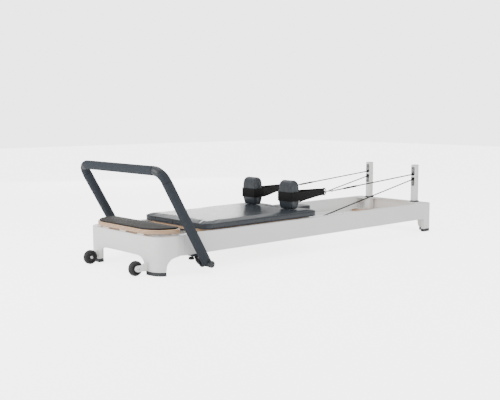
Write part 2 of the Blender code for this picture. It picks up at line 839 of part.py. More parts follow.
def strap_ring(bm, side):
    r = 0.0235
    path = []
    for a in angles(-75, 75, 8):
        path.append((RING_X + 0.0225 * math.cos(a), side * RING_Y, RING_Z + r * math.sin(a)))
    path += [(RING_X, side * RING_Y, RING_Z + z) for z in (r, 0.0, -r)]
    pipe(bm, path, RING_R, 8, closed=True)


def snap_hook(bm, side):
    x0, x1, r = 0.2765, 0.366, 0.009
    y = side * RING_Y
    outline = arc(x0 + r, y, r, 90, 270, 6) + arc(x1 - r, y, r, -90, 90, 6)
    pipe(bm, [(x, b, RING_Z) for x, b in outline], 0.0024, 6, closed=True)


def tangent(point, side):
    """The angle on the pulley, in the rope's plane, where a line from the point touches it."""
    dx, dz = point[0] - RISER_X, point[2] - PULLEY_Z
    return math.degrees(math.atan2(dz, dx)) - side * math.degrees(
        math.acos(PULLEY_PITCH / math.hypot(dx, dz))
    )


def rope(name, side):
    """From the snap hook up to the riser, over the pulley and back to the carriage."""
    a0, a1 = tangent(ROPE_START, 1), tangent(ROPE_END, -1) - 360
    wrap = arc(RISER_X, PULLEY_Z, PULLEY_PITCH, a0 % 360, a1 % 360 - 360, 10)
    start, end = Vector(ROPE_START), Vector(ROPE_END)
    path = [start]
    top = Vector((wrap[0][0], RISER_Y, wrap[0][1]))
    for x in (0.44, 0.455, 0.585, 0.6, 0.9):
        path.append(start.lerp(top, (x - start.x) / (top.x - start.x)))
    path += [Vector((x, RISER_Y, z)) for x, z in wrap]
    path += [path[-1].lerp(end, 0.5), end]
    radii = [SPLICE_R if SPLICE_X[0] < p.x < SPLICE_X[1] and p.z > 0.3 else ROPE_R for p in path]
    bm = bmesh.new()
    pipe(bm, [(p.x, side * p.y, p.z) for p in path], radii, 8)
    piece(f"rope_{name}", bm, "rope")


# Footbar


def on_footbar(along, y):
    """A point of the footbar's plane: how far up the arm from the pivot, and how far sideways."""
    x = PIVOT[0] - along * math.sin(ARM_LEAN)
    return (x, y, PIVOT[1] + along * math.cos(ARM_LEAN))


def footbar_origin():
    return (PIVOT[0], 0.0, PIVOT[1])


def footbar_arm(name, side):
    top = ARM_LENGTH - ELBOW_R - GAP
    path = [on_footbar(v, side * ARM_Y) for v in (0.0, 0.003, top)]
    bm = bmesh.new()
    pipe(bm, path, [ARM_R - 0.003, ARM_R, ARM_R], 20)
    arm = piece(f"footbar_arm_{name}", bm, "foam", footbar_origin())
    hole = bmesh.new()
    ends = [(PIVOT[0], side * y, PIVOT[1]) for y in (0.34, 0.44)]
    pipe(hole, ends, clear_hole(PIVOT_TUBE_R, 20), 20)
    carve(arm, hole)


def elbow_path(side, start, end, steps=5):
    """Points along the elbow: 0 is where it leaves the arm and 90 where it meets the bar."""
    points = []
    for a in angles(start, end, steps):
        along = ARM_LENGTH - ELBOW_R + ELBOW_R * math.sin(a)
        points.append(on_footbar(along, side * (ARM_Y - ELBOW_R + ELBOW_R * math.cos(a))))
    return points


def footbar_elbow(name, side):
    bm = bmesh.new()
    lead = 0.001
    path = [on_footbar(ARM_LENGTH - ELBOW_R, side * ARM_Y)]
    path += [on_footbar(ARM_LENGTH - ELBOW_R + lead, side * ARM_Y)]
    path += elbow_path(side, 8, 82, 8)
    path += [on_footbar(ARM_LENGTH, side * (ARM_Y - ELBOW_R + lead))]
    path += [on_footbar(ARM_LENGTH, side * (ARM_Y - ELBOW_R))]
    pipe(bm, path, GRIP_R, 20)
    piece(f"footbar_elbow_{name}", bm, "coated_steel", footbar_origin())


def footbar_grip():
    bm = bmesh.new()
    half = ARM_Y - ELBOW_R - 0.0003
    pipe(bm, [on_footbar(ARM_LENGTH, y) for y in (-half, half)], GRIP_R, 20)
    piece("footbar_grip", bm, "foam", footbar_origin())


def slider_clamp(bm, side):
    """A block that hooks round the rail's lower edge and rides along it."""
    inner, outer = RAIL_INNER_Y - 0.008, RAIL_Y + 0.002
    face, rail_side = FRAME_BOTTOM - GAP, RAIL_INNER_Y - GAP
    lip = LEDGE_BOTTOM - 0.001
    plan = [(inner, CLAMP_BOTTOM), (outer, CLAMP_BOTTOM), (outer, face)]
    plan += [(rail_side, face), (rail_side, lip), (inner, lip)]
    slab(bm, [(side * y, z) for y, z in plan], PIVOT[0] - 0.05, PIVOT[0] + 0.03, axis="x")


def slider_beam(bm):
    """The tube that makes both clamps slide as one."""
    half = RAIL_INNER_Y - 0.006
    pipe(bm, [(PIVOT[0], y, 0.1015) for y in (-half, half)], 0.0115, 12)
    return bm


def pivot_tube(bm, side):
    """The tube that hangs from the clamp and turns outwards to carry the arm."""
    x, z = PIVOT
    r = CLAMP_BOTTOM - z
    path = [(x, side * 0.305, CLAMP_BOTTOM + 0.006)]
    path += [(x, side * a, b) for a, b in arc(0.305 + r, z + r, r, 180, 270, 6)]
    pipe(bm, path + [(x, side * 0.4158, z)], PIVOT_TUBE_R, 20)


def lock_plate(bm, side):
    """The plate welded to the pivot tube, with a lug that holds the lock pin."""
    lean = 90 + math.degrees(ARM_LEAN)
    pin_x, _, pin_z = on_footbar(PIN_UP, 0)
    plan = arc(PIVOT[0], PIVOT[1], 0.026, lean + 60, lean + 300, 10)
    plan += arc(pin_x, pin_z, 0.011, lean - 80, lean + 80, 6)
    slab(bm, plan, side * 0.349, side * 0.353, axis="y")


def pin_hole(bm, side):
    pin_x, _, pin_z = on_footbar(PIN_UP, 0)
    pipe(bm, [(pin_x, side * y, pin_z) for y in (0.342, 0.36)], clear_hole(PIN_R, 8), 8)


def pivot_end_cap(bm, side):
    ends = [(PIVOT[0], side * y, PIVOT[1]) for y in (0.415, 0.43, 0.433)]
    pipe(bm, ends, [0.0195, 0.0195, 0.0165], 20)


def footbar_slider():
    """Both clamps, the beam between them and the pivot tubes are one weldment."""
    slider = piece("footbar_slider", both_sides(slider_clamp), "coated_steel")
    carve(slider, slider_beam(bmesh.new()), "UNION")
    for make in (pivot_tube, lock_plate):
        carve(slider, both_sides(make), "UNION")
    carve(slider, both_sides(pin_hole))
    carve(slider, both_sides(pivot_end_cap), "UNION")


def lock_pin(name, side):
    x, _, z = on_footbar(PIN_UP, 0)
    bm = bmesh.new()
    ends = [(x, side * y, z) for y in (0.3395, 0.3435, 0.3436, 0.3608)]
    pipe(bm, ends, [0.0072, 0.0072, PIN_R, PIN_R], 8)
    piece(f"lock_pin_{name}", bm, "steel", (x, side * 0.35, z))


def clamp_knob(name, side):
    """A five-lobed knob under the clamp, on the bolt that tightens it."""
    center = (PIVOT[0] - 0.04, side * 0.305, 0.068)
    lobes, points = 5, 30
    plan = []
    for i in range(points):
        a = 2 * math.pi * i / points
        r = 0.0145 + 0.0025 * math.cos(lobes * a)
        plan.append((center[0] + r * math.cos(a), center[1] + r * math.sin(a)))
    bm = bmesh.new()
    slab(bm, plan, 0.0595, CLAMP_BOTTOM - 0.004)
    piece(f"clamp_knob_{name}", bm, "black_plastic", center)


def build():
    clear_scene()
    foot_end_casting()
    head_end_casting()
    cross_member()
    springbar()
    springs()
    platform()
    head_shelf()
    carriage_layers()
    headrest()
    spring_anchor_bar()
    footbar_slider()
    footbar_grip()
    for where in ROLLER_X:
        crossbar(where)
    for name, side in LEFT_RIGHT:
        for make in SIDE_PIECES:
            make(name, side)
        for where in ROLLER_X:
            roller(where, name, side)
        piece(f"strap_loop_{name}", solid(strap_loop, side), "webbing")
        piece(f"strap_ring_{name}", solid(strap_ring, side), "black_plastic")
        piece(f"snap_hook_{name}", solid(snap_hook, side), "steel")


SIDE_PIECES = (
    rail,
    foot_end_foot,
    head_end_foot,
    wheel_arm,
    wheel,
    riser_tube,
    riser_gasket,
    pulley,
    shoulder_rest,
    rope,
    footbar_arm,
    footbar_elbow,
    lock_pin,
    clamp_knob,
)


build()
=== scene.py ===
"""Looks of the pilates reformer: finer shapes, materials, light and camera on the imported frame."""

import json
import math

import bmesh
import bpy
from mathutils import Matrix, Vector


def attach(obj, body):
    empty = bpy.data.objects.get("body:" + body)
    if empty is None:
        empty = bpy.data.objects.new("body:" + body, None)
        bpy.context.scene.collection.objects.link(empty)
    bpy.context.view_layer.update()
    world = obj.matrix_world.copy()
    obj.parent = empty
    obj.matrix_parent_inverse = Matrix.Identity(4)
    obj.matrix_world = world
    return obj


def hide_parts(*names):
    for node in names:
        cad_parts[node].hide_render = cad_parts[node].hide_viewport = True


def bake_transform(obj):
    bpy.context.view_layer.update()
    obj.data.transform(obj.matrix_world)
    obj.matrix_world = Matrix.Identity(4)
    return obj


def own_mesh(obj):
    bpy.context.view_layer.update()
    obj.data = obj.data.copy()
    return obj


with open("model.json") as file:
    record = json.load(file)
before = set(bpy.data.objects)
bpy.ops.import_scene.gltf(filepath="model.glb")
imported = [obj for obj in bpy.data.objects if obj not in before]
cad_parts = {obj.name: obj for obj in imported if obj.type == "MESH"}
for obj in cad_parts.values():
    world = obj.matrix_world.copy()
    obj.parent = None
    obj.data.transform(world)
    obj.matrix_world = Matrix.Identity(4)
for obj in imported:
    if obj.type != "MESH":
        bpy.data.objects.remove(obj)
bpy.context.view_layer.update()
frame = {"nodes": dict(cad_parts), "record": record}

LEFT_RIGHT = (("left", 1), ("right", -1))

# Sizes that the model was built with, in metres in its own frame.
FRAME_TOP, FRAME_BOTTOM = 0.204, 0.092
RAIL_Y, RAIL_INNER_Y = 0.33, 0.29
LEDGE_Y, LEDGE_TOP, LEDGE_BOTTOM = 0.262, 0.124, 0.118
FOOT_END_X, FOOT_SEAM_X = -1.13, -0.95
HEAD_SEAM_X, HEAD_END_X = 1.164, 1.255
FOOT_CORNER_R, FOOT_CORNER = 0.11, (-1.02, 0.24)
HEAD_CORNER_R = 0.03
SOLE = 0.02
RISER_X, RISER_Y, RISER_HALF, RISER_TOP = 1.212, 0.21, (0.024, 0.021), 0.471
PULLEY_Z, PULLEY_PITCH = 0.387, 0.0165
ROPE_R, SPLICE_R = 0.004, 0.0058
ROPE_START, ROPE_END = (0.3706, 0.2, 0.341), (0.0805, 0.21, 0.152)
REST_X, REST_Y, REST_HALF_X, REST_HALF_Y = -0.019, 0.168, 0.037, 0.06
REST_Z = (0.2505, 0.43)
STRAP_Z, STRAP_HALF, STRAP_THICK = 0.3285, 0.0265, 0.002
RING_X, RING_Y, RING_Z = 0.262, 0.2, 0.34
PAD_X, PAD_HALF, PAD_TOP = (-0.785, 0.105), 0.303, 0.244
BOARD_Z = (0.190, 0.208)
NOTCH_HALF = 0.1
HEADREST_X, HEADREST_HALF = (0.0215, 0.27), 0.0965
PLATFORM_X, PLATFORM_HALF, PLATFORM_CORNER_R = (-1.135, -0.965), 0.33, 0.145
PLY_BOTTOM, PLY_TOP, MAT_TOP = 0.2147, 0.2367, 0.246
WHEEL_X, WHEEL_Y, WHEEL_Z, WHEEL_R, WHEEL_HALF = -1.19, 0.225, 0.0405, 0.04, 0.013
PIVOT, ARM_LEAN = (-0.845, 0.045), math.radians(29.6)
ARM_LENGTH, ARM_Y, ARM_R, GRIP_R, ELBOW_R = 0.5815, 0.388, 0.0265, 0.025, 0.06
SPRING_Z, SPRING_YS = 0.15, (-0.135, -0.045, 0.045, 0.135)
SPRING_X = (-0.8495, -0.4685)
ROLLER_X = {"foot": -0.70, "head": -0.02}
ROLLER_Y, ROLLER_Z, ROLLER_R = 0.276, 0.1463, 0.022
CARRIAGE_TRAVEL = 0.75

# How bright the white surroundings are: as light, and as the camera sees them.
WORLD_LIGHT, FLOOR_LIGHT, WHITE_SEEN = 1.0, 0.3, 3.6


def new_object(name, data):
    made = bpy.data.objects.new(name, data)
    bpy.context.scene.collection.objects.link(made)
    return made


def mesh_object(name, bm):
    mesh = bpy.data.meshes.new(name)
    bm.to_mesh(mesh)
    bm.free()
    return new_object(name, mesh)


# Camera, light and floor


def camera():
    data = bpy.data.cameras.new("camera")
    data.sensor_width = 36.0
    data.lens = 57.083
    data.shift_x = -0.03573
    data.shift_y = 0.00735
    azimuth, elevation = math.radians(-43.01), math.radians(6.62)
    flat = math.cos(elevation)
    back = Vector((math.sin(azimuth) * flat, -math.cos(azimuth) * flat, math.sin(elevation)))
    made = new_object("camera", data)
    made.location = (-3.449, -3.655, 0.849)
    made.rotation_euler = (-back).to_track_quat("-Z", "Y").to_euler()
    bpy.context.scene.camera = made


def area_light(name, place, target, size, power):
    data = bpy.data.lights.new(name, "AREA")
    data.shape = "RECTANGLE"
    data.size, data.size_y = size
    data.energy = power
    made = new_object(name, data)
    made.location = place
    made.rotation_euler = (Vector(target) - Vector(place)).to_track_quat("-Z", "Y").to_euler()


def by_ray(tree, lit, seen, target):
    """Feeds a socket one brightness for the light it gives and another for how it shows."""
    ways = tree.nodes.new("ShaderNodeLightPath")
    choice = tree.nodes.new("ShaderNodeMapRange")
    choice.inputs["To Min"].default_value = lit
    choice.inputs["To Max"].default_value = seen
    tree.links.new(ways.outputs["Is Camera Ray"], choice.inputs["Value"])
    tree.links.new(choice.outputs["Result"], target)


def studio():
    """White surroundings that show brighter than they light the machine."""
    world = bpy.data.worlds.new("studio")
    world.use_nodes = True
    back = world.node_tree.nodes["Background"]
    back.inputs["Color"].default_value = (1.0, 1.0, 1.0, 1.0)
    by_ray(world.node_tree, WORLD_LIGHT, WHITE_SEEN, back.inputs["Strength"])
    bpy.context.scene.world = world
    area_light("top", (-0.3, 0.2, 3.4), (0.0, 0.0, 0.2), (4.5, 3.0), 60)
    area_light("foot_side", (-3.6, 0.6, 1.4), (-0.8, 0.0, 0.2), (2.0, 1.6), 70)
    area_light("near_side", (0.6, -3.8, 1.3), (0.2, 0.0, 0.2), (3.0, 1.6), 36)
    area_light("behind", (2.15, 4.8, 0.95), (-0.4, 0.0, 0.2), (2.7, 0.9), 40)
    bm = bmesh.new()
    bmesh.ops.create_grid(bm, x_segments=1, y_segments=1, size=14.0)
    floor = mesh_object("floor", bm)
    floor.location.z = -0.0005
    paint = new_material("floor", (0.9, 0.9, 0.9), 0.9)
    shader = paint.node_tree.nodes["Principled BSDF"]
    shader.inputs["Emission Color"].default_value = (1.0, 1.0, 1.0, 1.0)
    by_ray(paint.node_tree, FLOOR_LIGHT, WHITE_SEEN, shader.inputs["Emission Strength"])
    floor.data.materials.append(paint)


# Materials


def new_material(name, color, roughness, metallic=0.0, **sockets):
    material = bpy.data.materials.new(name)
    material.use_nodes = True
    shader = material.node_tree.nodes["Principled BSDF"]
    shader.inputs["Base Color"].default_value = (*color, 1.0)
    shader.inputs["Roughness"].default_value = roughness
    shader.inputs["Metallic"].default_value = metallic
    for socket, value in sockets.items():
        shader.inputs[socket.replace("_", " ")].default_value = value
    return material


class Nodes:
    """Short ways to add nodes to a material."""

    def __init__(self, *args, **sockets):
        self.material = new_material(*args, **sockets)
        self.tree = self.material.node_tree
        self.shader = self.tree.nodes["Principled BSDF"]
        self.where = self.add("ShaderNodeTexCoord")

    def add(self, kind, **settings):
        node = self.tree.nodes.new(kind)
        for key, value in settings.items():
            setattr(node, key, value)
        return node

    def link(self, a, b):
        self.tree.links.new(a, b)

    def place(self, scale=(1.0, 1.0, 1.0), source="Object"):
        mapping = self.add("ShaderNodeMapping")
        mapping.inputs["Scale"].default_value = scale
        self.link(self.where.outputs[source], mapping.inputs["Vector"])
        return mapping.outputs["Vector"]

    def noise(self, scale, vector=None, detail=3.0, roughness=0.55):
        node = self.add("ShaderNodeTexNoise")
        node.inputs["Scale"].default_value = scale
        node.inputs["Detail"].default_value = detail
        node.inputs["Roughness"].default_value = roughness
        self.link(vector or self.where.outputs["Object"], node.inputs["Vector"])
        return node.outputs["Fac"]

    def cells(self, scale, feature="F1"):
        node = self.add("ShaderNodeTexVoronoi", feature=feature)
        node.inputs["Scale"].default_value = scale
        self.link(self.where.outputs["Object"], node.inputs["Vector"])
        return node.outputs["Distance"]

    def wave(self, scale, vector, axis):
        node = self.add("ShaderNodeTexWave", bands_direction=axis)
        node.inputs["Scale"].default_value = scale
        self.link(vector, node.inputs["Vector"])
        return node.outputs["Fac"]

    def math(self, operation, a, b=None):
        node = self.add("ShaderNodeMath", operation=operation)
        for socket, value in zip(node.inputs, (a, b)):
            if value is None:
                continue
            if isinstance(value, (int, float)):
                socket.default_value = value
            else:
                self.link(value, socket)
        return node.outputs[0]

    def ramp(self, value, stops):
        node = self.add("ShaderNodeValToRGB")
        ramp = node.color_ramp
        while len(ramp.elements) < len(stops):
            ramp.elements.new(0.5)
        for element, (place, color) in zip(ramp.elements, stops):
            element.position = place
            element.color = (*color, 1.0)
        self.link(value, node.inputs["Fac"])
        return node.outputs["Color"]

    def mix(self, factor, a, b):
        node = self.add("ShaderNodeMix", data_type="RGBA")
        for socket, value in ((node.inputs[0], factor), (node.inputs[6], a), (node.inputs[7], b)):
            if isinstance(value, (int, float)):
                socket.default_value = value
            elif isinstance(value, tuple):
                socket.default_value = (*value, 1.0)
            else:
                self.link(value, socket)
        return node.outputs[2]

    def range(self, value, low, high):
        node = self.add("ShaderNodeMapRange")
        node.inputs["To Min"].default_value = low
        node.inputs["To Max"].default_value = high
        self.link(value, node.inputs["Value"])
        return node.outputs["Result"]

    def bump(self, height, distance, strength=1.0, below=None):
        node = self.add("ShaderNodeBump")
        node.inputs["Distance"].default_value = distance
        node.inputs["Strength"].default_value = strength
        self.link(height, node.inputs["Height"])
        if below:
            self.link(below, node.inputs["Normal"])
        return node.outputs["Normal"]

    def height(self, source):
        """The Z of a texture coordinate: of the place, or of the way the surface faces."""
        parts = self.add("ShaderNodeSeparateXYZ")
        self.link(self.where.outputs[source], parts.inputs[0])
        return parts.outputs["Z"]

    def set(self, color=None, roughness=None, normal=None):
        for socket, value in (("Base Color", color), ("Roughness", roughness), ("Normal", normal)):
            if value:
                self.link(value, self.shader.inputs[socket])
        return self.material

    def mottled(self, pattern, color, low, high):
        """A colour that varies with a pattern between two (place, brightness) stops."""
        return self.ramp(pattern, [(at, shade(color, factor)) for at, factor in (low, high)])


def shade(color, factor):
    return tuple(min(1.0, c * factor) for c in color)


def powder_coat(name, color, roughness):
    n = Nodes(name, color, roughness, Coat_Weight=0.15, Coat_Roughness=0.25)
    return n.set(
        n.mottled(n.noise(6.0, detail=2.0), color, (0.35, 0.985), (0.65, 1.01)),
        n.range(n.noise(60.0), roughness - 0.04, roughness + 0.05),
        n.bump(n.noise(700.0, detail=2.0), 0.00006, 0.5),
    )


def rubber(name, color, roughness):
    n = Nodes(name, color, roughness)
    return n.set(
        n.mottled(n.noise(25.0, detail=4.0), color, (0.3, 0.85), (0.75, 1.25)),
        n.range(n.noise(90.0), roughness - 0.08, roughness + 0.08),
        n.bump(n.noise(1400.0, detail=2.0), 0.0001, 0.7),
    )


def foam(name, color):
    n = Nodes(name, color, 0.72, Specular_IOR_Level=0.25)
    pores = n.bump(n.cells(1100.0), 0.00012, 0.5)
    return n.set(
        n.mottled(n.noise(120.0, detail=4.0), color, (0.3, 0.88), (0.7, 1.14)),
        n.range(n.noise(40.0), 0.62, 0.8),
        n.bump(n.noise(35.0, detail=2.0), 0.0006, 0.35, pores),
    )


def vinyl(name, color):
    gloss = {"Specular_IOR_Level": 0.4, "Coat_Weight": 0.2, "Coat_Roughness": 0.16}
    n = Nodes(name, color, 0.32, **gloss)
    grain = n.math("MULTIPLY", n.cells(850.0, feature="DISTANCE_TO_EDGE"), 2.0)
    return n.set(
        n.mottled(n.noise(14.0, detail=5.0), color, (0.3, 0.94), (0.7, 1.06)),
        n.range(n.noise(45.0, detail=4.0), 0.24, 0.34),
        n.bump(n.noise(5.0, detail=2.0), 0.0012, 0.3, n.bump(grain, 0.00010, 0.55)),
    )


def plywood(name):
    """Long grain on the faces, and the plies on the edges."""
    light, dark, glue_line = (0.58, 0.37, 0.21), (0.27, 0.145, 0.07), 0.0034
    n = Nodes(name, light, 0.42, Coat_Weight=0.2, Coat_Roughness=0.25)
    grain = n.noise(2.2, n.place((3.0, 60.0, 60.0)), detail=6.0, roughness=0.6)
    face = n.ramp(grain, [(0.3, (0.50, 0.31, 0.17)), (0.5, light), (0.75, (0.70, 0.48, 0.30))])
    plies = n.math("PINGPONG", n.math("MULTIPLY", n.height("Object"), 1.0 / glue_line), 1.0)
    edge = n.ramp(plies, [(0.4, dark), (0.55, light), (0.85, (0.72, 0.52, 0.35))])
    fibres = n.noise(260.0, n.place((1.0, 1.0, 0.25)), detail=3.0)
    edge = n.mix(n.range(fibres, 0.0, 0.35), edge, (0.40, 0.25, 0.15))
    flat = n.math("GREATER_THAN", n.math("ABSOLUTE", n.height("Normal")), 0.7)
    return n.set(
        n.mix(flat, edge, face),
        n.range(grain, 0.36, 0.5),
        n.bump(n.mix(flat, plies, grain), 0.00012, 0.4),
    )


def grip_mat(name, color):
    """A pebbled, streaky top on dark rubber; the sides are near-black painted shade."""
    n = Nodes(name, color, 0.75)
    streaks = n.noise(3.0, n.place((60.0, 3.0, 1.0)), detail=5.0)
    face = n.mottled(streaks, color, (0.3, 0.7), (0.7, 1.6))
    # flat marks faces that point up. All other faces get the near-black colour below, which is
    # painted shade on the mat's sides.
    flat = n.math("GREATER_THAN", n.height("Normal"), 0.6)
    pebbles = n.bump(n.cells(520.0), 0.0003, 0.7)
    return n.set(
        n.mix(flat, (0.005, 0.005, 0.005), face),
        n.range(streaks, 0.62, 0.85),
        n.bump(n.wave(90.0, n.place(), "X"), 0.0002, 0.35, pebbles),
    )


def metal(name, color, roughness):
    n = Nodes(name, color, roughness, 1.0)
    brushed = n.noise(9.0, n.place((4.0, 90.0, 90.0)), detail=4.0)
    return n.set(
        n.mottled(n.noise(30.0), color, (0.3, 0.9), (0.7, 1.08)),
        n.range(brushed, roughness - 0.08, roughness + 0.12),
        n.bump(brushed, 0.00004, 0.5),
    )


def webbing(name, color):
    fuzz = {"Specular_IOR_Level": 0.2, "Sheen_Weight": 0.04, "Sheen_Roughness": 0.5}
    n = Nodes(name, color, 0.85, **fuzz)
    ribs, rows = n.wave(150.0, n.place((0.6, 0.6, 1.0)), "X"), n.wave(210.0, n.place(), "Z")
    weave = n.math("MULTIPLY", ribs, rows)
    shades = n.mottled(weave, color, (0.1, 0.6), (0.7, 2.2))
    return n.set(shades, normal=n.bump(weave, 0.0004, 0.8))


def braid(name, color):
    fuzz = {"Specular_IOR_Level": 0.2, "Sheen_Weight": 0.05, "Sheen_Roughness": 0.5}
    n = Nodes(name, color, 0.8, **fuzz)
    one, two = (n.wave(1.0, n.place((way, 55.0, 1.0), "UV"), "DIAGONAL") for way in (1.0, -1.0))
    strands = n.math("MAXIMUM", one, two)
    shades = n.mottled(strands, color, (0.2, 0.5), (0.9, 2.4))
    return n.set(shades, normal=n.bump(strands, 0.0005, 0.8))


def plastic(name, color, roughness):
    n = Nodes(name, color, roughness)
    return n.set(
        n.mottled(n.noise(20.0), color, (0.3, 0.9), (0.7, 1.15)),
        n.range(n.noise(150.0), roughness - 0.06, roughness + 0.1),
        n.bump(n.noise(900.0, detail=2.0), 0.00007, 0.6),
    )


PAINTS = {
    "frame_white": (powder_coat, (0.80, 0.80, 0.79), 0.38),
    "rail_white": (powder_coat, (0.77, 0.77, 0.765), 0.40),
    "rubber": (rubber, (0.035, 0.038, 0.042), 0.7),
    "tyre": (rubber, (0.016, 0.016, 0.017), 0.6),
    "plywood": (plywood,),
    "grip_mat": (grip_mat, (0.022, 0.021, 0.019)),
    "vinyl": (vinyl, (0.024, 0.03, 0.037)),
    "piping": (plastic, (0.008, 0.009, 0.011), 0.5),
    "foam": (foam, (0.026, 0.032, 0.04)),
    "coated_steel": (plastic, (0.02, 0.024, 0.029), 0.42),
    "steel": (metal, (0.66, 0.66, 0.67), 0.28),
    "webbing": (webbing, (0.006, 0.006, 0.006)),
    "rope": (braid, (0.006, 0.006, 0.006)),
    "black_plastic": (plastic, (0.012, 0.012, 0.013), 0.45),
    "spring_steel": (metal, (0.5, 0.5, 0.51), 0.32),
}


# Mesh helpers


def add_piece(name, bm, finish, body="frame", replaces=(), sharp=35.0):
    """Makes an object that rides on a body. Piping shares the vinyl's slot in the record."""
    bmesh.ops.recalc_face_normals(bm, faces=bm.faces)
    made = mesh_object(name, bm)
    smooth(made.data, sharp)
    made.data.materials.append(MATERIALS[finish])
    if body:
        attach(made, body)
    if replaces:
        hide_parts(*replaces)
    return made


def smooth(mesh, sharp=35.0):
    """Smooth shading, except over edges sharper than an angle."""
    mesh.shade_smooth()
    mesh.set_sharp_from_angle(angle=math.radians(sharp))


def stand_in(node, bm, finish, body="frame", sharp=35.0):
    """Adds a piece that is seen in place of one CAD node."""
    return add_piece(f"{node}_fine", bm, finish, body, [node], sharp)


def mirrored(half, *middle):
    """A half outline or profile, any points in its middle, and its mirror image."""
    return [*half, *middle, *((a, -b) for a, b in reversed(half))]


def skin(bm, rings, closed=False):
    """Joins rings of points into one surface, with its ends capped or joined."""
    loops = [[bm.verts.new(p) for p in ring] for ring in rings]
    count = len(loops[0])
    pairs = list(zip(loops, loops[1:]))
    if closed:
        pairs.append((loops[-1], loops[0]))
    else:
        bm.faces.new(loops[0])
        bm.faces.new(loops[-1])
    for a, b in pairs:
        for i in range(count):
            j = (i + 1) % count
            bm.faces.new((a[i], a[j], b[j], b[i]))


def slab(bm, plan, low, high, axis="z", round_edge=0.0):
    """A plate of constant thickness, with its edges rounded if asked for."""
    place = {
        "z": lambda p, t: (p[0], p[1], t),
        "y": lambda p, t: (p[0], t, p[1]),
        "x": lambda p, t: (t, p[0], p[1]),
    }[axis]
    low, high = min(low, high), max(low, high)
    if not round_edge:
        skin(bm, [[place(p, t) for p in plan] for t in (low, high)])
        return
    rings = []
    for t, inset in edge_profile(low, high, round_edge):
        rings.append([place(p, t) for p in inset_plan(plan, inset)])
    skin(bm, rings)


def edge_profile(low, high, r, steps=3):
    """(height, inset) pairs from the lower face round both edges to the upper face."""
    found = []
    for i in range(steps + 1):
        a = math.pi / 2 * i / steps
        found.append((low + r - r * math.cos(a), r - r * math.sin(a)))
    return found + [(high + low - t, inset) for t, inset in reversed(found)]


def inset_plan(plan, inset):
    """The closed outline moved inwards, whichever way round it goes."""
    if inset == 0:
        return list(plan)
    count = len(plan)
    area = sum(plan[i - 1][0] * plan[i][1] - plan[i][0] * plan[i - 1][1] for i in range(count))
    turn = 1.0 if area > 0 else -1.0
    moved = []
    for i, (x, y) in enumerate(plan):
        (ax, ay), (bx, by) = plan[i - 1], plan[(i + 1) % count]
        ways = []
        for dx, dy in ((x - ax, y - ay), (bx - x, by - y)):
            long = math.hypot(dx, dy) or 1.0
            ways.append((-dy / long * turn, dx / long * turn))
        nx, ny = ways[0][0] + ways[1][0], ways[0][1] + ways[1][1]
        grow = max(0.35, 1 + ways[0][0] * ways[1][0] + ways[0][1] * ways[1][1])
        moved.append((x + nx * inset / grow, y + ny * inset / grow))
    return moved


def arc(cx, cy, r, start, end, steps):
    turns = angles(start, end, steps)
    return [(cx + r * math.cos(a), cy + r * math.sin(a)) for a in turns]


def angles(start, end, steps):
    return [math.radians(start + (end - start) * i / steps) for i in range(steps + 1)]


def rounded_plan(x0, x1, y0, y1, radii, steps=8):
    points = []
    for i, (x, y, r) in enumerate(zip((x1, x0, x0, x1), (y1, y1, y0, y0), radii)):
        cx = x - r if x == x1 else x + r
        cy = y - r if y == y1 else y + r
        points += arc(cx, cy, r, 90 * i, 90 * i + 90, steps)
    return points


def circle(center, u, v, r, sides):
    turn = 2 * math.pi / sides
    return [center + r * (math.cos(i * turn) * u + math.sin(i * turn) * v) for i in range(sides)]


def pipe(bm, path, radii, sides=16, closed=False):
    """A round tube along a path."""
    path = [Vector(p) for p in path]
    if isinstance(radii, float):
        radii = [radii] * len(path)
    last = len(path) - 1
    side = None
    rings = []
    for i, point in enumerate(path):
        before = path[i - 1] if closed or i else point
        after = path[(i + 1) % len(path)] if closed or i < last else point
        along = (after - before).normalized()
        if side is None:
            side = along.orthogonal()
        side = (side - side.dot(along) * along).normalized()
        rings.append(circle(point, side, along.cross(side), radii[i], sides))
    skin(bm, rings, closed)


AXES = {"x": ((0, 1, 0), (0, 0, 1)), "y": ((0, 0, 1), (1, 0, 0)), "z": ((1, 0, 0), (0, 1, 0))}


def turned(bm, profile, center, axis, sides=48, closed=True):
    """A profile of (radius, distance along the axis), turned about the axis."""
    u, v = (Vector(d) for d in AXES[axis])
    along = u.cross(v)
    skin(bm, [circle(Vector(center) + t * along, u, v, r, sides) for r, t in profile], closed)


def cut(target, bm):
    """Cuts bm's shape out of a piece for good."""
    bmesh.ops.recalc_face_normals(bm, faces=bm.faces)
    cutter = mesh_object("cutter", bm)
    step = target.modifiers.new("cut", "BOOLEAN")
    step.object = cutter
    step.operation = "DIFFERENCE"
    bake(target)
    smooth(target.data)
    bpy.data.objects.remove(cutter, do_unlink=True)


CLOTH_FRAMES, CLOTH_PRESSURE = 20, 4.0


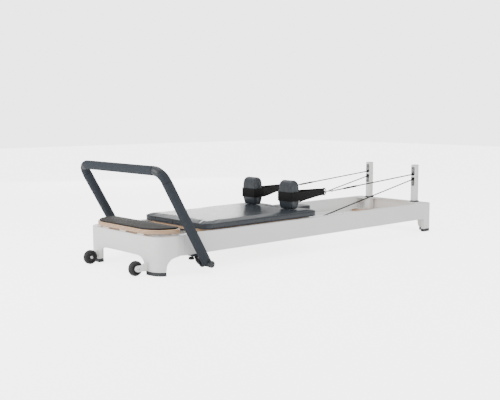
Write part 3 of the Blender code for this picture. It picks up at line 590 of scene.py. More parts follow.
def stuffed(made, voxel, cap, sewn):
    """Swells a pad's cover with Blender's cloth.

    Points where sewn() is true stay, and no other point moves further than cap.
    """
    remesh = made.modifiers.new("remesh", "REMESH")
    remesh.mode = "VOXEL"
    remesh.voxel_size = voxel
    bake(made)
    rest = [v.co.copy() for v in made.data.vertices]
    held = made.vertex_groups.new(name="held")
    held.add([v.index for v in made.data.vertices if sewn(v.co)], 1.0, "REPLACE")
    cloth = made.modifiers.new("cloth", "CLOTH")
    cloth.settings.quality = 5
    cloth.settings.mass = 0.3
    cloth.settings.tension_stiffness = 30
    cloth.settings.compression_stiffness = 30
    cloth.settings.bending_stiffness = 2
    cloth.settings.use_pressure = True
    cloth.settings.uniform_pressure_force = CLOTH_PRESSURE
    cloth.settings.effector_weights.gravity = 0
    cloth.settings.vertex_group_mass = "held"
    cloth.collision_settings.use_collision = False
    cloth.point_cache.frame_start, cloth.point_cache.frame_end = 1, CLOTH_FRAMES
    for number in range(1, CLOTH_FRAMES + 1):
        bpy.context.scene.frame_set(number)
    bake(made)
    for vertex, start in zip(made.data.vertices, rest):
        moved = vertex.co - start
        if moved.length > cap:
            vertex.co = start + moved * (cap / moved.length)
    bpy.context.scene.frame_set(1)
    made.vertex_groups.clear()
    finer = made.modifiers.new("finer", "SUBSURF")
    finer.levels = finer.render_levels = 1
    bake(made)
    made.data.shade_smooth()


def bake(made):
    """Applies a piece's modifiers to its mesh."""
    bpy.context.view_layer.update()
    graph = bpy.context.evaluated_depsgraph_get()
    shape = bpy.data.meshes.new_from_object(made.evaluated_get(graph))
    made.modifiers.clear()
    made.data = shape


def smoothstep(t):
    t = min(1.0, max(0.0, t))
    return t * t * (3 - 2 * t)


def smooth_between(points, s):
    """A smooth curve through (s, value) points that doesn't overshoot them."""
    if s <= points[0][0]:
        return points[0][1]
    if s >= points[-1][0]:
        return points[-1][1]
    slopes = [(b[1] - a[1]) / (b[0] - a[0]) for a, b in zip(points, points[1:])]
    for i, ((s0, v0), (s1, v1)) in enumerate(zip(points, points[1:])):
        if s > s1:
            continue
        ends = []
        for j in (i - 1, i):
            a, b = slopes[max(j, 0)], slopes[min(j + 1, len(slopes) - 1)]
            ends.append(0.0 if a * b <= 0 else 2 * a * b / (a + b))
        h, t = s1 - s0, (s - s0) / (s1 - s0)
        h00, h10 = (1 + 2 * t) * (1 - t) ** 2, t * (1 - t) ** 2
        h01, h11 = t * t * (3 - 2 * t), t * t * (t - 1)
        return h00 * v0 + h10 * h * ends[0] + h01 * v1 + h11 * h * ends[1]


def screw_head(bm, center, r, axis="z", sign=1):
    """A domed screw head with a round socket."""
    dome = [(r, 0.0), (r, r * 0.25), (r * 0.85, r * 0.5), (r * 0.5, r * 0.62)]
    cup = [(r * 0.48, r * 0.62), (r * 0.46, r * 0.2)]
    turned(bm, [(a, sign * t) for a, t in dome + cup], center, axis, 24, closed=False)


# Ropes


def tangent(point, side):
    dx, dz = point[0] - RISER_X, point[2] - PULLEY_Z
    reach = math.degrees(math.acos(PULLEY_PITCH / math.hypot(dx, dz)))
    return math.degrees(math.atan2(dz, dx)) - side * reach


def tangent_height(point, side):
    """How high a run of rope is where it goes in through the riser's face."""
    a = math.radians(tangent(point, side))
    touch = (RISER_X + PULLEY_PITCH * math.cos(a), PULLEY_Z + PULLEY_PITCH * math.sin(a))
    t = (RISER_X - RISER_HALF[0] - point[0]) / (touch[0] - point[0])
    return point[2] + (touch[1] - point[2]) * t


def spread(a, b, steps):
    return [a.lerp(b, i / steps) for i in range(steps + 1)]


def rope(name, side):
    """The rope's two runs: hook to pulley and round it, then back down to the carriage."""
    a0, a1 = tangent(ROPE_START, 1) % 360, tangent(ROPE_END, -1) % 360 - 360
    wrap = [Vector((x, RISER_Y, z)) for x, z in arc(RISER_X, PULLEY_Z, PULLEY_PITCH, a0, a1, 16)]
    start, end = Vector(ROPE_START), Vector(ROPE_END)
    runs = {
        "rope_upper": spread(start, wrap[0], 60) + wrap[1:],
        "rope_return": spread(wrap[-1], end, 60),
    }
    lengths = {}
    for run, path in runs.items():
        path = [Vector((p.x, side * p.y, p.z)) for p in path]
        bm = bmesh.new()
        pipe(bm, path, ROPE_R, 12)
        made = add_piece(f"{run}_{name}", bm, "rope", "frame", [f"rope_{name}"])
        rope_uv(made, path, 12)
        far_x = ROPE_START[0] if run == "rope_upper" else ROPE_END[0]
        keep = 1 - CARRIAGE_TRAVEL / (RISER_X - far_x)
        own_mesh(made)
        lengths[run] = (made, path, keep)
    splice = rope_splice(name, side, start, wrap[0])
    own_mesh(splice)
    for run, (made, path, _) in lengths.items():
        long = sum((b - a).length for a, b in zip(path, path[1:]))
        exit_at = path[-1] if run == "rope_return" else path[0]
        tuple(exit_at)
        [tuple(p) for p in path]


def rope_uv(made, path, sides):
    """UVs for the braid: once round the rope, and metres along it."""
    mesh = made.data
    layer = mesh.uv_layers.new(name="braid")
    along = [0.0]
    for a, b in zip(path, path[1:]):
        along.append(along[-1] + (b - a).length)
    for face in mesh.polygons:
        round_ids = [mesh.loops[i].vertex_index % sides for i in face.loop_indices]
        wraps = max(round_ids) - min(round_ids) > sides / 2
        for i in face.loop_indices:
            vertex = mesh.loops[i].vertex_index
            turn = vertex % sides
            if wraps and turn < sides / 2:
                turn += sides
            layer.data[i].uv = (turn / sides, along[min(vertex // sides, len(along) - 1)])


def rope_splice(name, side, start, top):
    """The thick stretch near the hook, where the rope's end is doubled back and whipped."""
    points = []
    for i in range(41):
        x = 0.45 + 0.14 * i / 40
        p = start.lerp(top, (x - start.x) / (top.x - start.x))
        points.append((p.x, side * p.y, p.z))
    radii = []
    for i in range(41):
        t = i / 40
        taper = smoothstep(min(t, 1 - t) / 0.12)
        bands = 0.0004 * math.sin(t * math.pi * 22)
        radii.append(ROPE_R + 0.0002 + (SPLICE_R - ROPE_R) * taper + bands * taper)
    bm = bmesh.new()
    pipe(bm, points, radii, 16)
    return add_piece(f"rope_splice_{name}", bm, "rope")


# White frame


def inward(outline):
    found = []
    for i in range(len(outline)):
        a, b = outline[max(i - 1, 0)], outline[min(i + 1, len(outline) - 1)]
        dx, dy = b[0] - a[0], b[1] - a[1]
        long = math.hypot(dx, dy)
        found.append((-dy / long, dx / long))
    return found


def lengths_along(outline):
    far = [0.0]
    for a, b in zip(outline, outline[1:]):
        far.append(far[-1] + math.dist(a, b))
    return far


def wall_section(bottom, wall, flange, thick):
    """The end casting's section: (depth into the machine, height), with eased edges."""
    r, e = 0.0035, 0.002
    section = [(r - r * math.sin(a), FRAME_TOP - r + r * math.cos(a)) for a in angles(0, 90, 4)]
    low = bottom + e
    section += [(e - e * math.cos(a), low - e * math.sin(a)) for a in angles(0, 90, 3)]
    section += [(wall - e + e * math.sin(a), low - e * math.cos(a)) for a in angles(0, 90, 3)]
    section += [(wall, FRAME_TOP - thick), (flange - 0.001, FRAME_TOP - thick)]
    section += [(flange, FRAME_TOP - thick + 0.001), (flange, FRAME_TOP - 0.001)]
    return section + [(flange - 0.001, FRAME_TOP)]


def casting_skin(bm, outline, bottoms, walls, flange, thick):
    ways = inward(outline)
    for i in (0, -1):
        ways[i] = (0.0, -1.0 if outline[i][1] > 0 else 1.0)
    rings = []
    for (x, y), (ix, iy), bottom, wall in zip(outline, ways, bottoms, walls):
        section = wall_section(bottom, wall, flange, thick)
        rings.append([(x + ix * d, y + iy * d, z) for d, z in section])
    skin(bm, rings)


def soft_corner(cx, cy, r, start, end, steps):
    """A quarter of a superellipse: fuller than an arc of the same reach."""
    points = []
    for a in angles(start, end, steps):
        c, s = math.cos(a), math.sin(a)
        x = math.copysign(abs(c) ** (2 / 3), c)
        y = math.copysign(abs(s) ** (2 / 3), s)
        points.append((cx + r * x, cy + r * y))
    return points


def foot_outline():
    cx, cy = FOOT_CORNER
    bulge = cy + FOOT_CORNER_R
    seam = []
    for i in range(12):
        t = i / 12
        y = RAIL_Y + (bulge - RAIL_Y) * smoothstep(t)
        seam.append((FOOT_SEAM_X + (cx - FOOT_SEAM_X) * t, y))
    corner = soft_corner(cx, cy, FOOT_CORNER_R, 90, 180, 48)
    front = [(FOOT_END_X, cy - 0.005 * i) for i in range(1, 48)]
    half = seam + corner + front
    return mirrored(half, (FOOT_END_X, 0.0))


# Distance from the middle of the corner towards the seam, and the skirt's lower edge there.
FOOT_SKIRT = (
    *((-0.25, 0.0955), (-0.19, 0.095), (-0.165, 0.0935), (-0.149, 0.0895), (-0.135, 0.081)),
    *((-0.121, 0.067), (-0.11, 0.05), (-0.1, 0.0203), (0.033, 0.0203), (0.037, 0.0487)),
    *((0.047, 0.0683), (0.07, 0.087), (0.103, 0.0939), (0.13, 0.0955), (0.166, 0.0925)),
)
FOOT_SOLE = (-0.1, 0.033)
PLATFORM_PADS = (
    ((-1.12, -0.2), (-1.098, -0.14)),
    ((-1.12, -0.03), (-1.098, 0.03)),
    ((-1.12, 0.14), (-1.098, 0.2)),
    ((-1.02, 0.3), (-0.97, 0.318)),
    ((-1.02, -0.318), (-0.97, -0.3)),
)


def corner_distance(outline):
    far = lengths_along(outline)
    corner = far[max(range(len(outline)), key=lambda i: outline[i][1] - outline[i][0])]
    return [corner - min(s, far[-1] - s) for s in far]


def foot_end():
    outline = foot_outline()
    bottoms, walls = [], []
    for t in corner_distance(outline):
        if FOOT_SOLE[0] <= t <= FOOT_SOLE[1]:
            bottoms.append(SOLE + 0.0003)
        else:
            bottoms.append(smooth_between(FOOT_SKIRT, t))
        walls.append(0.008 + 0.022 * smoothstep((0.07 - bottoms[-1]) / 0.05))
    bm = bmesh.new()
    casting_skin(bm, outline, bottoms, walls, 0.04, 0.006)
    for (x0, y0), (x1, y1) in PLATFORM_PADS:
        plan = rounded_plan(x0, x1, y0, y1, [0.003] * 4, 3)
        slab(bm, plan, FRAME_TOP - 0.003, PLY_BOTTOM - 0.0003)
    stand_in("foot_end_casting", bm, "frame_white")
    for name, side in LEFT_RIGHT:
        foot_end_sole(name, side, outline)


def foot_end_sole(name, side, outline):
    """The rubber foot follows the leg's outline, with a small lip at its top edge."""
    ways = inward(outline)
    rings = []
    for (x, y), (ix, iy), t in zip(outline, ways, corner_distance(outline)):
        if FOOT_SOLE[0] - 0.002 <= t <= FOOT_SOLE[1] + 0.002 and y * side > 0:
            section = [(0.0015, 0.0), (-0.0002, 0.002), (-0.0006, 0.0145), (-0.001, 0.0155)]
            section += [(-0.001, SOLE - 0.001), (0.0, SOLE), (0.0325, SOLE)]
            section += [(0.0335, 0.0015), (0.032, 0.0)]
            rings.append([(x + ix * d, y + iy * d, z) for d, z in section])
    bm = bmesh.new()
    skin(bm, rings)
    add_piece(f"foot_end_sole_{name}", bm, "rubber", "frame", [f"foot_end_foot_{name}"])


def head_outline():
    cx, cy = HEAD_END_X - HEAD_CORNER_R, RAIL_Y - HEAD_CORNER_R
    side = [(HEAD_SEAM_X + d, -RAIL_Y) for d in (0.0, 0.004, 0.0045, 0.015, 0.03, 0.045)]
    corner = arc(cx, -cy, HEAD_CORNER_R, -90, 0, 16)
    back = [(HEAD_END_X, -cy + 0.005 * i) for i in range(1, 60)]
    half = side + corner + back
    return mirrored(half, (HEAD_END_X, 0.0))


def head_bottom(x, y):
    if x < HEAD_SEAM_X + 0.0042:
        return FRAME_BOTTOM
    return 0.0203 + (FRAME_BOTTOM - 0.0203) * smoothstep((0.245 - abs(y)) / 0.05)


def riser_plan(side, grow, corner_r):
    hx, hy = (h + grow for h in RISER_HALF)
    plan = rounded_plan(-hx, hx, -hy, hy, [corner_r] * 4, 6)
    return [(RISER_X + x, side * RISER_Y + y) for x, y in plan]


def gusset_plan(side):
    plan = [(HEAD_END_X - 0.012, 0.09), (HEAD_END_X - 0.012, RAIL_Y - 0.006)]
    plan += [(HEAD_SEAM_X, RAIL_Y - 0.006)] + arc(HEAD_SEAM_X, 0.13, 0.06, 90, 15, 16)
    return [(x, side * y) for x, y in plan]


def head_end():
    outline = head_outline()
    bottoms = [head_bottom(x, y) for x, y in outline]
    walls = [0.01 + 0.014 * smoothstep((0.07 - b) / 0.05) for b in bottoms]
    bm = bmesh.new()
    casting_skin(bm, outline, bottoms, walls, 0.026, 0.006)
    for _, side in LEFT_RIGHT:
        slab(bm, gusset_plan(side), FRAME_TOP - 0.008, FRAME_TOP - 0.0004)
        slab(bm, riser_plan(side, 0.0045, 0.014), 0.1145, FRAME_TOP - 0.004, round_edge=0.001)
    stand_in("head_end_casting", bm, "frame_white")
    for name, side in LEFT_RIGHT:
        x0, x1, y0, y1 = HEAD_SEAM_X + 0.004, HEAD_END_X, 0.245, RAIL_Y
        plan = [(x0, y1), (x0, y1 - 0.026), (x1 - 0.034, y1 - 0.026), (x1 - 0.026, y1 - 0.034)]
        plan += [(x1 - 0.026, y0), (x1, y0)]
        plan += arc(x1 - HEAD_CORNER_R, y1 - HEAD_CORNER_R, HEAD_CORNER_R, 0, 90, 12)
        bm = bmesh.new()
        slab(bm, [(x, side * y) for x, y in plan], 0.0, SOLE, round_edge=0.0015)
        add_piece(f"head_end_sole_{name}", bm, "rubber", "frame", [f"head_end_foot_{name}"])


def rails():
    r = 0.004
    section = [(RAIL_Y, FRAME_BOTTOM + 0.002), *arc(RAIL_Y - r, FRAME_TOP - r, r, 0, 90, 6)]
    section += arc(RAIL_INNER_Y + r, FRAME_TOP - r, r, 90, 180, 6)
    section += [(RAIL_INNER_Y, LEDGE_TOP), (LEDGE_Y + 0.001, LEDGE_TOP)]
    section += [(LEDGE_Y, LEDGE_TOP - 0.001), (LEDGE_Y, LEDGE_BOTTOM + 0.001)]
    section += [(LEDGE_Y + 0.001, LEDGE_BOTTOM)]
    section += [(RAIL_INNER_Y, LEDGE_BOTTOM), (RAIL_INNER_Y, FRAME_BOTTOM + 0.002)]
    section += [(RAIL_INNER_Y + 0.002, FRAME_BOTTOM), (RAIL_Y - 0.002, FRAME_BOTTOM)]
    for name, side in LEFT_RIGHT:
        bm = bmesh.new()
        ends = (FOOT_SEAM_X + 0.0008, HEAD_SEAM_X - 0.0008)
        slab(bm, [(side * y, z) for y, z in section], *ends, axis="x")
        stand_in(f"rail_{name}", bm, "rail_white")
        bm = bmesh.new()
        for x in (FOOT_SEAM_X, HEAD_SEAM_X):
            inner = []
            for y, z in section[:14]:
                inner.append((side * (y - 0.001 if y > 0.31 else y + 0.001), z - 0.0008))
            floor = [(side * (RAIL_INNER_Y + 0.001), 0.094), (side * (RAIL_Y - 0.001), 0.094)]
            slab(bm, inner + floor, x - 0.0009, x + 0.0009, axis="x")
        add_piece(f"rail_seams_{name}", bm, "rubber")


def riser(name, side):
    bm = bmesh.new()
    slab(bm, riser_plan(side, 0, 0.011), 0.118, RISER_TOP - 0.0062)
    tube = stand_in(f"riser_tube_{name}", bm, "frame_white")
    bm = bmesh.new()
    slab(bm, riser_plan(side, -0.0025, 0.009), 0.1, RISER_TOP + 0.01)
    cut(tube, bm)
    y, face = side * RISER_Y, RISER_X - RISER_HALF[0]
    bm = bmesh.new()
    for low, high in ((0.319, 0.381), (0.397, 0.456)):
        plan = rounded_plan(y - 0.0155, y + 0.0155, low, high, [0.006] * 4, 8)
        slab(bm, plan, face - 0.01, face + 0.006, axis="x")
    cut(tube, bm)
    bm = bmesh.new()
    slab(bm, riser_plan(side, -0.0001, 0.011), RISER_TOP - 0.006, RISER_TOP, round_edge=0.002)
    add_piece(f"riser_cap_{name}", bm, "frame_white")
    bm = bmesh.new()
    for low, high, grow in ((FRAME_TOP + 0.0003, 0.2105, 0.006), (0.2095, 0.2128, 0.002)):
        slab(bm, riser_plan(side, grow, 0.015), low, high, round_edge=0.0012)
    stand_in(f"riser_gasket_{name}", bm, "rubber")
    bm = bmesh.new()
    for z in (tangent_height(ROPE_START, 1), tangent_height(ROPE_END, -1)):
        ring = [(0.0049, -0.003), (0.0078, -0.004), (0.0094, -0.0036), (0.0094, -0.0016)]
        ring += [(0.0082, -0.001), (0.0082, 0.004), (0.0049, 0.004)]
        turned(bm, ring, (face + 0.0015, y, z), "x", 24)
    add_piece(f"rope_grommets_{name}", bm, "black_plastic")
    bm = bmesh.new()
    pipe(bm, [(RISER_X, y + d, PULLEY_Z) for d in (-0.0225, 0.0225)], 0.0038, 16)
    for sign in (1, -1):
        head = [(0.006, 0.0213), (0.006, 0.0222), (0.0045, 0.0232), (0.002, 0.0235)]
        head = [(r, sign * t) for r, t in head]
        turned(bm, head, (RISER_X, y, PULLEY_Z), "y", 24, closed=False)
    add_piece(f"pulley_axle_{name}", bm, "steel")
    bm = bmesh.new()
    groove = PULLEY_PITCH - ROPE_R - 0.0004
    half = [(0.0045, 0.008), (0.009, 0.008), (0.010, 0.0065), (0.018, 0.0065)]
    half += [(0.0185, 0.008), (0.0202, 0.0075), (0.0200, 0.0055)]
    half += [(groove + 0.0015, 0.003), (groove + 0.0003, 0.0015)]
    turned(bm, mirrored(half, (groove, 0.0)), (RISER_X, y, PULLEY_Z), "y", 40)
    stand_in(f"pulley_{name}", bm, "black_plastic", f"pulley_{name}")


def platform():
    x0, x1 = PLATFORM_X
    half = PLATFORM_HALF
    bm = bmesh.new()
    r = PLATFORM_CORNER_R
    plan = rounded_plan(x0, x1, -half, half, [0.025, r, r, 0.025], 24)
    slab(bm, plan, PLY_BOTTOM, PLY_TOP, round_edge=0.0022)
    stand_in("platform_board", bm, "plywood")
    bm = bmesh.new()
    radii = [0.012, r - 0.012, r - 0.012, 0.012]
    plan = rounded_plan(x0 + 0.006, x1 - 0.006, 0.016 - half, half - 0.016, radii, 24)
    slab(bm, plan, PLY_TOP + 0.0003, MAT_TOP, round_edge=0.003)
    add_piece("platform_mat_fine", bm, "grip_mat", "frame", ["platform_grip_mat"])
    bm = bmesh.new()
    for side in (1, -1):
        screw_head(bm, (x1 - 0.03, side * (half - 0.0085), PLY_TOP - 0.0008), 0.0048)
    add_piece("platform_screws", bm, "steel")


def head_shelf():
    bm = bmesh.new()
    half, x0, x1 = RAIL_INNER_Y - 0.0008, 1.1, HEAD_END_X - 0.0253
    notch_x, notch_y = HEAD_SEAM_X - 0.004, 0.23
    left = [(x1, 0.21), (x1 - 0.006, 0.226)]
    left += [(notch_x + 0.006, notch_y), (notch_x, notch_y + 0.006)]
    left += [(notch_x, half - 0.004), (notch_x - 0.004, half)]
    left += [(x0 + 0.004, half), (x0, half - 0.004)]
    slab(bm, mirrored(left), 0.1, 0.112, round_edge=0.0015)
    stand_in("head_shelf", bm, "plywood")
    bm = bmesh.new()
    for side in (1, -1):
        at_rail = RAIL_INNER_Y - 0.0005
        plan = [(at_rail, 0.099), (at_rail, 0.0935), (0.245, 0.0965), (0.245, 0.099)]
        slab(bm, [(side * y, z) for y, z in plan], 1.11, 1.15, axis="x")
    add_piece("shelf_brackets", bm, "frame_white")


def wheel(name, side):
    center = (WHEEL_X, side * WHEEL_Y, WHEEL_Z)
    h = WHEEL_HALF
    half = [(0.0285, h), (0.0335, h), (0.0365, h - 0.0012), (0.0388, h - 0.004)]
    half += [(WHEEL_R, h - 0.0075), (WHEEL_R, 0.0012), (WHEEL_R - 0.0008, 0.0004)]
    bm = bmesh.new()
    turned(bm, mirrored(half), center, "y", 64)
    stand_in(f"wheel_tyre_{name}", bm, "tyre", f"wheel_{name}")
    half = [(0.0073, h + 0.001), (0.0115, h + 0.001), (0.013, h - 0.001), (0.0135, h - 0.0045)]
    half += [(0.0235, h - 0.0055), (0.025, h - 0.003), (0.0268, h - 0.0012), (0.0283, h - 0.002)]
    bm = bmesh.new()
    turned(bm, mirrored(half), center, "y", 64)
    hub = stand_in(f"wheel_hub_{name}", bm, "black_plastic", f"wheel_{name}")
    bm = bmesh.new()
    for a in angles(0, 300, 5):
        spot = (WHEEL_X + 0.0185 * math.cos(a), WHEEL_Z + 0.0185 * math.sin(a))
        pipe(bm, [(spot[0], side * WHEEL_Y + d, spot[1]) for d in (-0.02, 0.02)], 0.0032, 12)
    cut(hub, bm)
    wheel_arm(name, side)


def wheel_arm(name, side):
    y0, y1 = WHEEL_Y + 0.0165, WHEEL_Y + 0.0285
    plan = arc(WHEEL_X, WHEEL_Z, 0.016, 90, 270, 20)
    plan += [(-1.1305, WHEEL_Z - 0.016), (-1.1305, WHEEL_Z + 0.03), (-1.15, WHEEL_Z + 0.026)]
    plan += [(-1.158, WHEEL_Z + 0.02), (-1.168, WHEEL_Z + 0.0165)]
    bm = bmesh.new()
    slab(bm, plan, side * y0, side * y1, axis="y", round_edge=0.0018)
    stand_in(f"wheel_arm_{name}", bm, "frame_white")
    bm = bmesh.new()
    ends = [(WHEEL_X, side * y, WHEEL_Z) for y in (WHEEL_Y - 0.0145, WHEEL_Y + 0.0165)]
    pipe(bm, ends, 0.0068, 24)
    center = (WHEEL_X, side * y1, WHEEL_Z)
    washer = [(0.009, 0.0), (0.009, side * 0.001), (0.0085, side * 0.0012)]
    turned(bm, washer, center, "y", 32, closed=False)
    screw_head(bm, (WHEEL_X, side * (y1 + 0.001), WHEEL_Z), 0.0062, "y", side)
    screw_head(bm, (WHEEL_X, side * (WHEEL_Y - 0.0143), WHEEL_Z), 0.0085, "y", -side)
    add_piece(f"wheel_axle_{name}", bm, "steel")


# Carriage


def carriage_outline(x0, x1, half, notch_x, foot_r, head_r):
    lip_r, steps = 0.02, 14
    left = [(notch_x, y) for y in (0.04, 0.07, NOTCH_HALF - 0.01)]
    left += arc(notch_x + 0.006, NOTCH_HALF - 0.006, 0.006, 180, 90, 4)
    left += arc(x1 - lip_r, NOTCH_HALF + lip_r, lip_r, -90, 0, 8)
    left += arc(x1 - head_r, half - head_r, head_r, 0, 90, steps)
    side_x = (x0 + x1) / 2
    left += [(side_x + 0.2, half), (side_x, half), (side_x - 0.2, half)]
    left += arc(x0 + foot_r, half - foot_r, foot_r, 90, 180, steps)
    left += [(x0, 0.12)]
    return mirrored(left, (x0, 0.0))


def upholstered(bm, plan):
    """A firm pad: straight sides, a rolled top edge and a top that swells a little."""
    low, high, crown = BOARD_Z[1] + 0.0004, PAD_TOP, 0.001
    profile = [(low, 0.003), (low + 0.0008, 0.001), (low + 0.003, 0.0)]
    profile += [(low + (high - low) * 0.5, -0.0003), (high - 0.0085, 0.0)]
    r = 0.005
    for a in angles(0, 80, 5)[1:]:
        profile.append((high - r + r * math.sin(a), r - r * math.cos(a)))
    for t in (0.1, 0.25, 0.45, 0.7, 1.0):
        profile.append((high + crown * math.sin(math.pi / 2 * t), r + 0.055 * t))
    skin(bm, [[(x, y, z) for x, y in inset_plan(plan, inset)] for z, inset in profile])


def welts(bm, plan):
    """The sewn cords round a pad's top and bottom edges."""
    for z, r, inset in ((PAD_TOP - 0.0072, 0.0016, 0.0006), (BOARD_Z[1] + 0.0032, 0.0011, 0.0008)):
        pipe(bm, [(x, y, z) for x, y in inset_plan(plan, inset)], r, 10, closed=True)


def stitches(bm, path):
    """A run of short raised threads along a path."""
    step, r, left = 0.0045, 0.0005, 0.0
    for a, b in zip(path, path[1:]):
        a, b = Vector(a), Vector(b)
        long = (b - a).length
        if long < 1e-9:
            continue
        way = (b - a) / long
        at = left
        while at + step * 0.62 < long:
            p, q = a + way * at, a + way * (at + step * 0.62)
            m = (p + q) / 2
            path = [p, p.lerp(m, 0.4), m, q.lerp(m, 0.4), q]
            pipe(bm, path, [r * 0.3, r, r * 1.1, r, r * 0.3], 6)
            at += step
        left = at - long


def carriage():
    plan = carriage_outline(*PAD_X, PAD_HALF, 0.02, 0.06, 0.045)
    bm = bmesh.new()
    upholstered(bm, plan)
    pad = stand_in("carriage_pad", bm, "vinyl", "carriage", 50)

    def sewn(co):
        by_notch = co.x > 0.0 and abs(co.y) < HEADREST_HALF + 0.012
        return co.z < PAD_TOP - 0.006 or by_notch

    stuffed(pad, 0.006, 0.005, sewn)
    bm = bmesh.new()
    welts(bm, plan)
    heights = (BOARD_Z[1] + 0.003, 0.225, PAD_TOP - 0.008)
    pipe(bm, [(PAD_X[0] + 0.0002, 0.0, z) for z in heights], 0.0028, 10)
    for side in (1, -1):
        seam = [(-0.35, side * (PAD_HALF - 0.0002), z) for z in (0.2115, 0.225, 0.236)]
        pipe(bm, seam, 0.0009, 8)
    add_piece("carriage_pad_seams", bm, "piping", "carriage")
    board = carriage_outline(PAD_X[0] + 0.012, PAD_X[1] - 0.008, 0.255, 0.018, 0.04, 0.04)
    bm = bmesh.new()
    slab(bm, board, *BOARD_Z, round_edge=0.0018)
    stand_in("carriage_board", bm, "plywood", "carriage")
    bm = bmesh.new()
    for side in (1, -1):
        for dy in (-0.03, 0.03):
            rim = [(0.0088, -0.002), (0.0145, -0.002), (0.0145, 0.0006)]
            rim += [(0.0125, 0.002), (0.0088, 0.002)]
            turned(bm, rim, (REST_X, side * REST_Y + dy, PAD_TOP), "z", 32)
    add_piece("rest_socket_rims", bm, "black_plastic", "carriage")
    headrest()


def headrest():
    x0, x1 = HEADREST_X
    half = HEADREST_HALF
    plan = rounded_plan(x0, x1, -half, half, [0.04, 0.006, 0.006, 0.04], 12)
    bm = bmesh.new()
    upholstered(bm, plan)
    pad = stand_in("headrest_pad", bm, "vinyl", "headrest", 50)

    def sewn(co):
        at_side = abs(co.y) > half - 0.006 or not x0 + 0.012 <= co.x <= x1 - 0.006
        return co.z < PAD_TOP - 0.006 or at_side

    stuffed(pad, 0.0045, 0.004, sewn)
    bm = bmesh.new()
    welts(bm, plan)
    add_piece("headrest_seams", bm, "piping", "headrest")
    bm = bmesh.new()
    radii = [0.03, 0.004, 0.004, 0.03]
    plan = rounded_plan(x0 + 0.001, x1 - 0.012, 0.01 - half, half - 0.01, radii, 10)
    slab(bm, plan, *BOARD_Z, round_edge=0.0018)
    stand_in("headrest_board", bm, "plywood", "headrest")


def rest_arch(inset):
    """The shoulder rest's outline seen from the side, as (x, z) points."""
    low, high = REST_Z
    hx, rise = REST_HALF_X, REST_HALF_X * 0.9
    crown = []
    for a in angles(0, 180, 24):
        crown.append((REST_X + hx * math.cos(a), high - rise + rise * math.sin(a)))
    side = [(REST_X - hx, 0.36), (REST_X - hx, 0.32), (REST_X - hx * 0.985, 0.295)]
    foot = [(REST_X - hx * 0.93, low + 0.03), (REST_X - hx * 0.84, low + 0.015)]
    foot += [(REST_X - hx * 0.72, low + 0.006), (REST_X - hx * 0.6, low)]
    half = side + foot
    plan = crown + half + [(2 * REST_X - x, z) for x, z in reversed(half)]
    return inset_plan(plan, inset)


def rest_width(z):
    """How much of its full width the shoulder rest has at that height."""
    low, high = REST_Z
    at_top, at_foot = smoothstep((z - high + 0.07) / 0.07), smoothstep((low + 0.06 - z) / 0.06)
    return 1.0 - 0.17 * at_top - 0.12 * at_foot


def shoulder_rest(name, side):
    y = side * REST_Y
    bm = bmesh.new()
    rings = []
    h, r = REST_HALF_Y, 0.008
    profile = [(-h + 0.0012, 0.02), (-h + 0.0008, 0.014)]
    profile += [(-h + 0.001, 0.0105), (-h + 0.0022, 0.0088)]
    for a in angles(0, 90, 5):
        profile.append((-h + 0.0018 + r - r * math.cos(a), r - r * math.sin(a)))
    profile += [(-0.03, 0.0), (-0.002, 0.0001), (-0.0008, 0.0011)]
    profile += [(0.0, 0.0014)] + [(-t, inset) for t, inset in reversed(profile)]
    for t, inset in profile:
        rings.append([(x, y + t * rest_width(z), z) for x, z in rest_arch(inset + 0.0012)])
    skin(bm, rings)
    rest = stand_in(f"shoulder_rest_{name}", bm, "vinyl", f"rest_{name}", 50)

    def sewn(co):
        off = abs(co.y - y)
        at_edge = abs(off - (h - 0.004) * rest_width(co.z)) < 0.003
        return co.z < REST_Z[0] + 0.01 or at_edge or off < 0.003

    stuffed(rest, 0.0045, 0.004, sewn)
    bm = bmesh.new()
    for sign in (1, -1):
        out = sign * (h - 0.0022)
        arch = [(x, y + out * rest_width(z), z) for x, z in rest_arch(0.0088)]
        pipe(bm, arch, 0.0023, 10, closed=True)
    add_piece(f"rest_welts_{name}", bm, "vinyl", f"rest_{name}")
    bm = bmesh.new()
    for dy in (-0.03, 0.03):
        post = [(REST_X, y + dy, z) for z in (0.1915, 0.1925, REST_Z[0] + 0.004)]
        pipe(bm, post, [0.007, 0.008, 0.008], 24)
    add_piece(f"rest_posts_{name}", bm, "steel", f"rest_{name}")


def strap_path(grow):
    r, steps = 0.006, 24
    x0 = REST_X - REST_HALF_X - 0.0003
    y0, y1 = REST_Y - REST_HALF_Y - 0.0003, REST_Y + REST_HALF_Y + 0.0003
    points = [(x0 - grow, REST_Y), (x0 - grow, REST_Y + 0.03)]
    points += arc(x0 + r, y1 - r, r + grow, 180, 95, 6)
    far = arc(RING_X, RING_Y, 0.0045 + grow, 82, -67, 10)
    start, end = Vector((0.02, y1 + grow)), Vector(far[0])
    points += [tuple(p) for p in spread(start, end, steps)[:-1]]
    points += far
    start, end = Vector(far[-1]), Vector((0.02, y0 - grow))
    points += [tuple(p) for p in spread(start, end, steps)[1:]]
    points += arc(x0 + r, y0 + r, r + grow, 265, 180, 6)
    return points + [(x0 - grow, REST_Y - 0.03)]


def strap_edges(x):
    t = smoothstep((x - 0.02) / (RING_X - 0.02))
    middle = STRAP_Z + (RING_Z - STRAP_Z) * t
    half = STRAP_HALF + 0.002 + (0.0195 - STRAP_HALF) * t
    return middle - half, middle + half


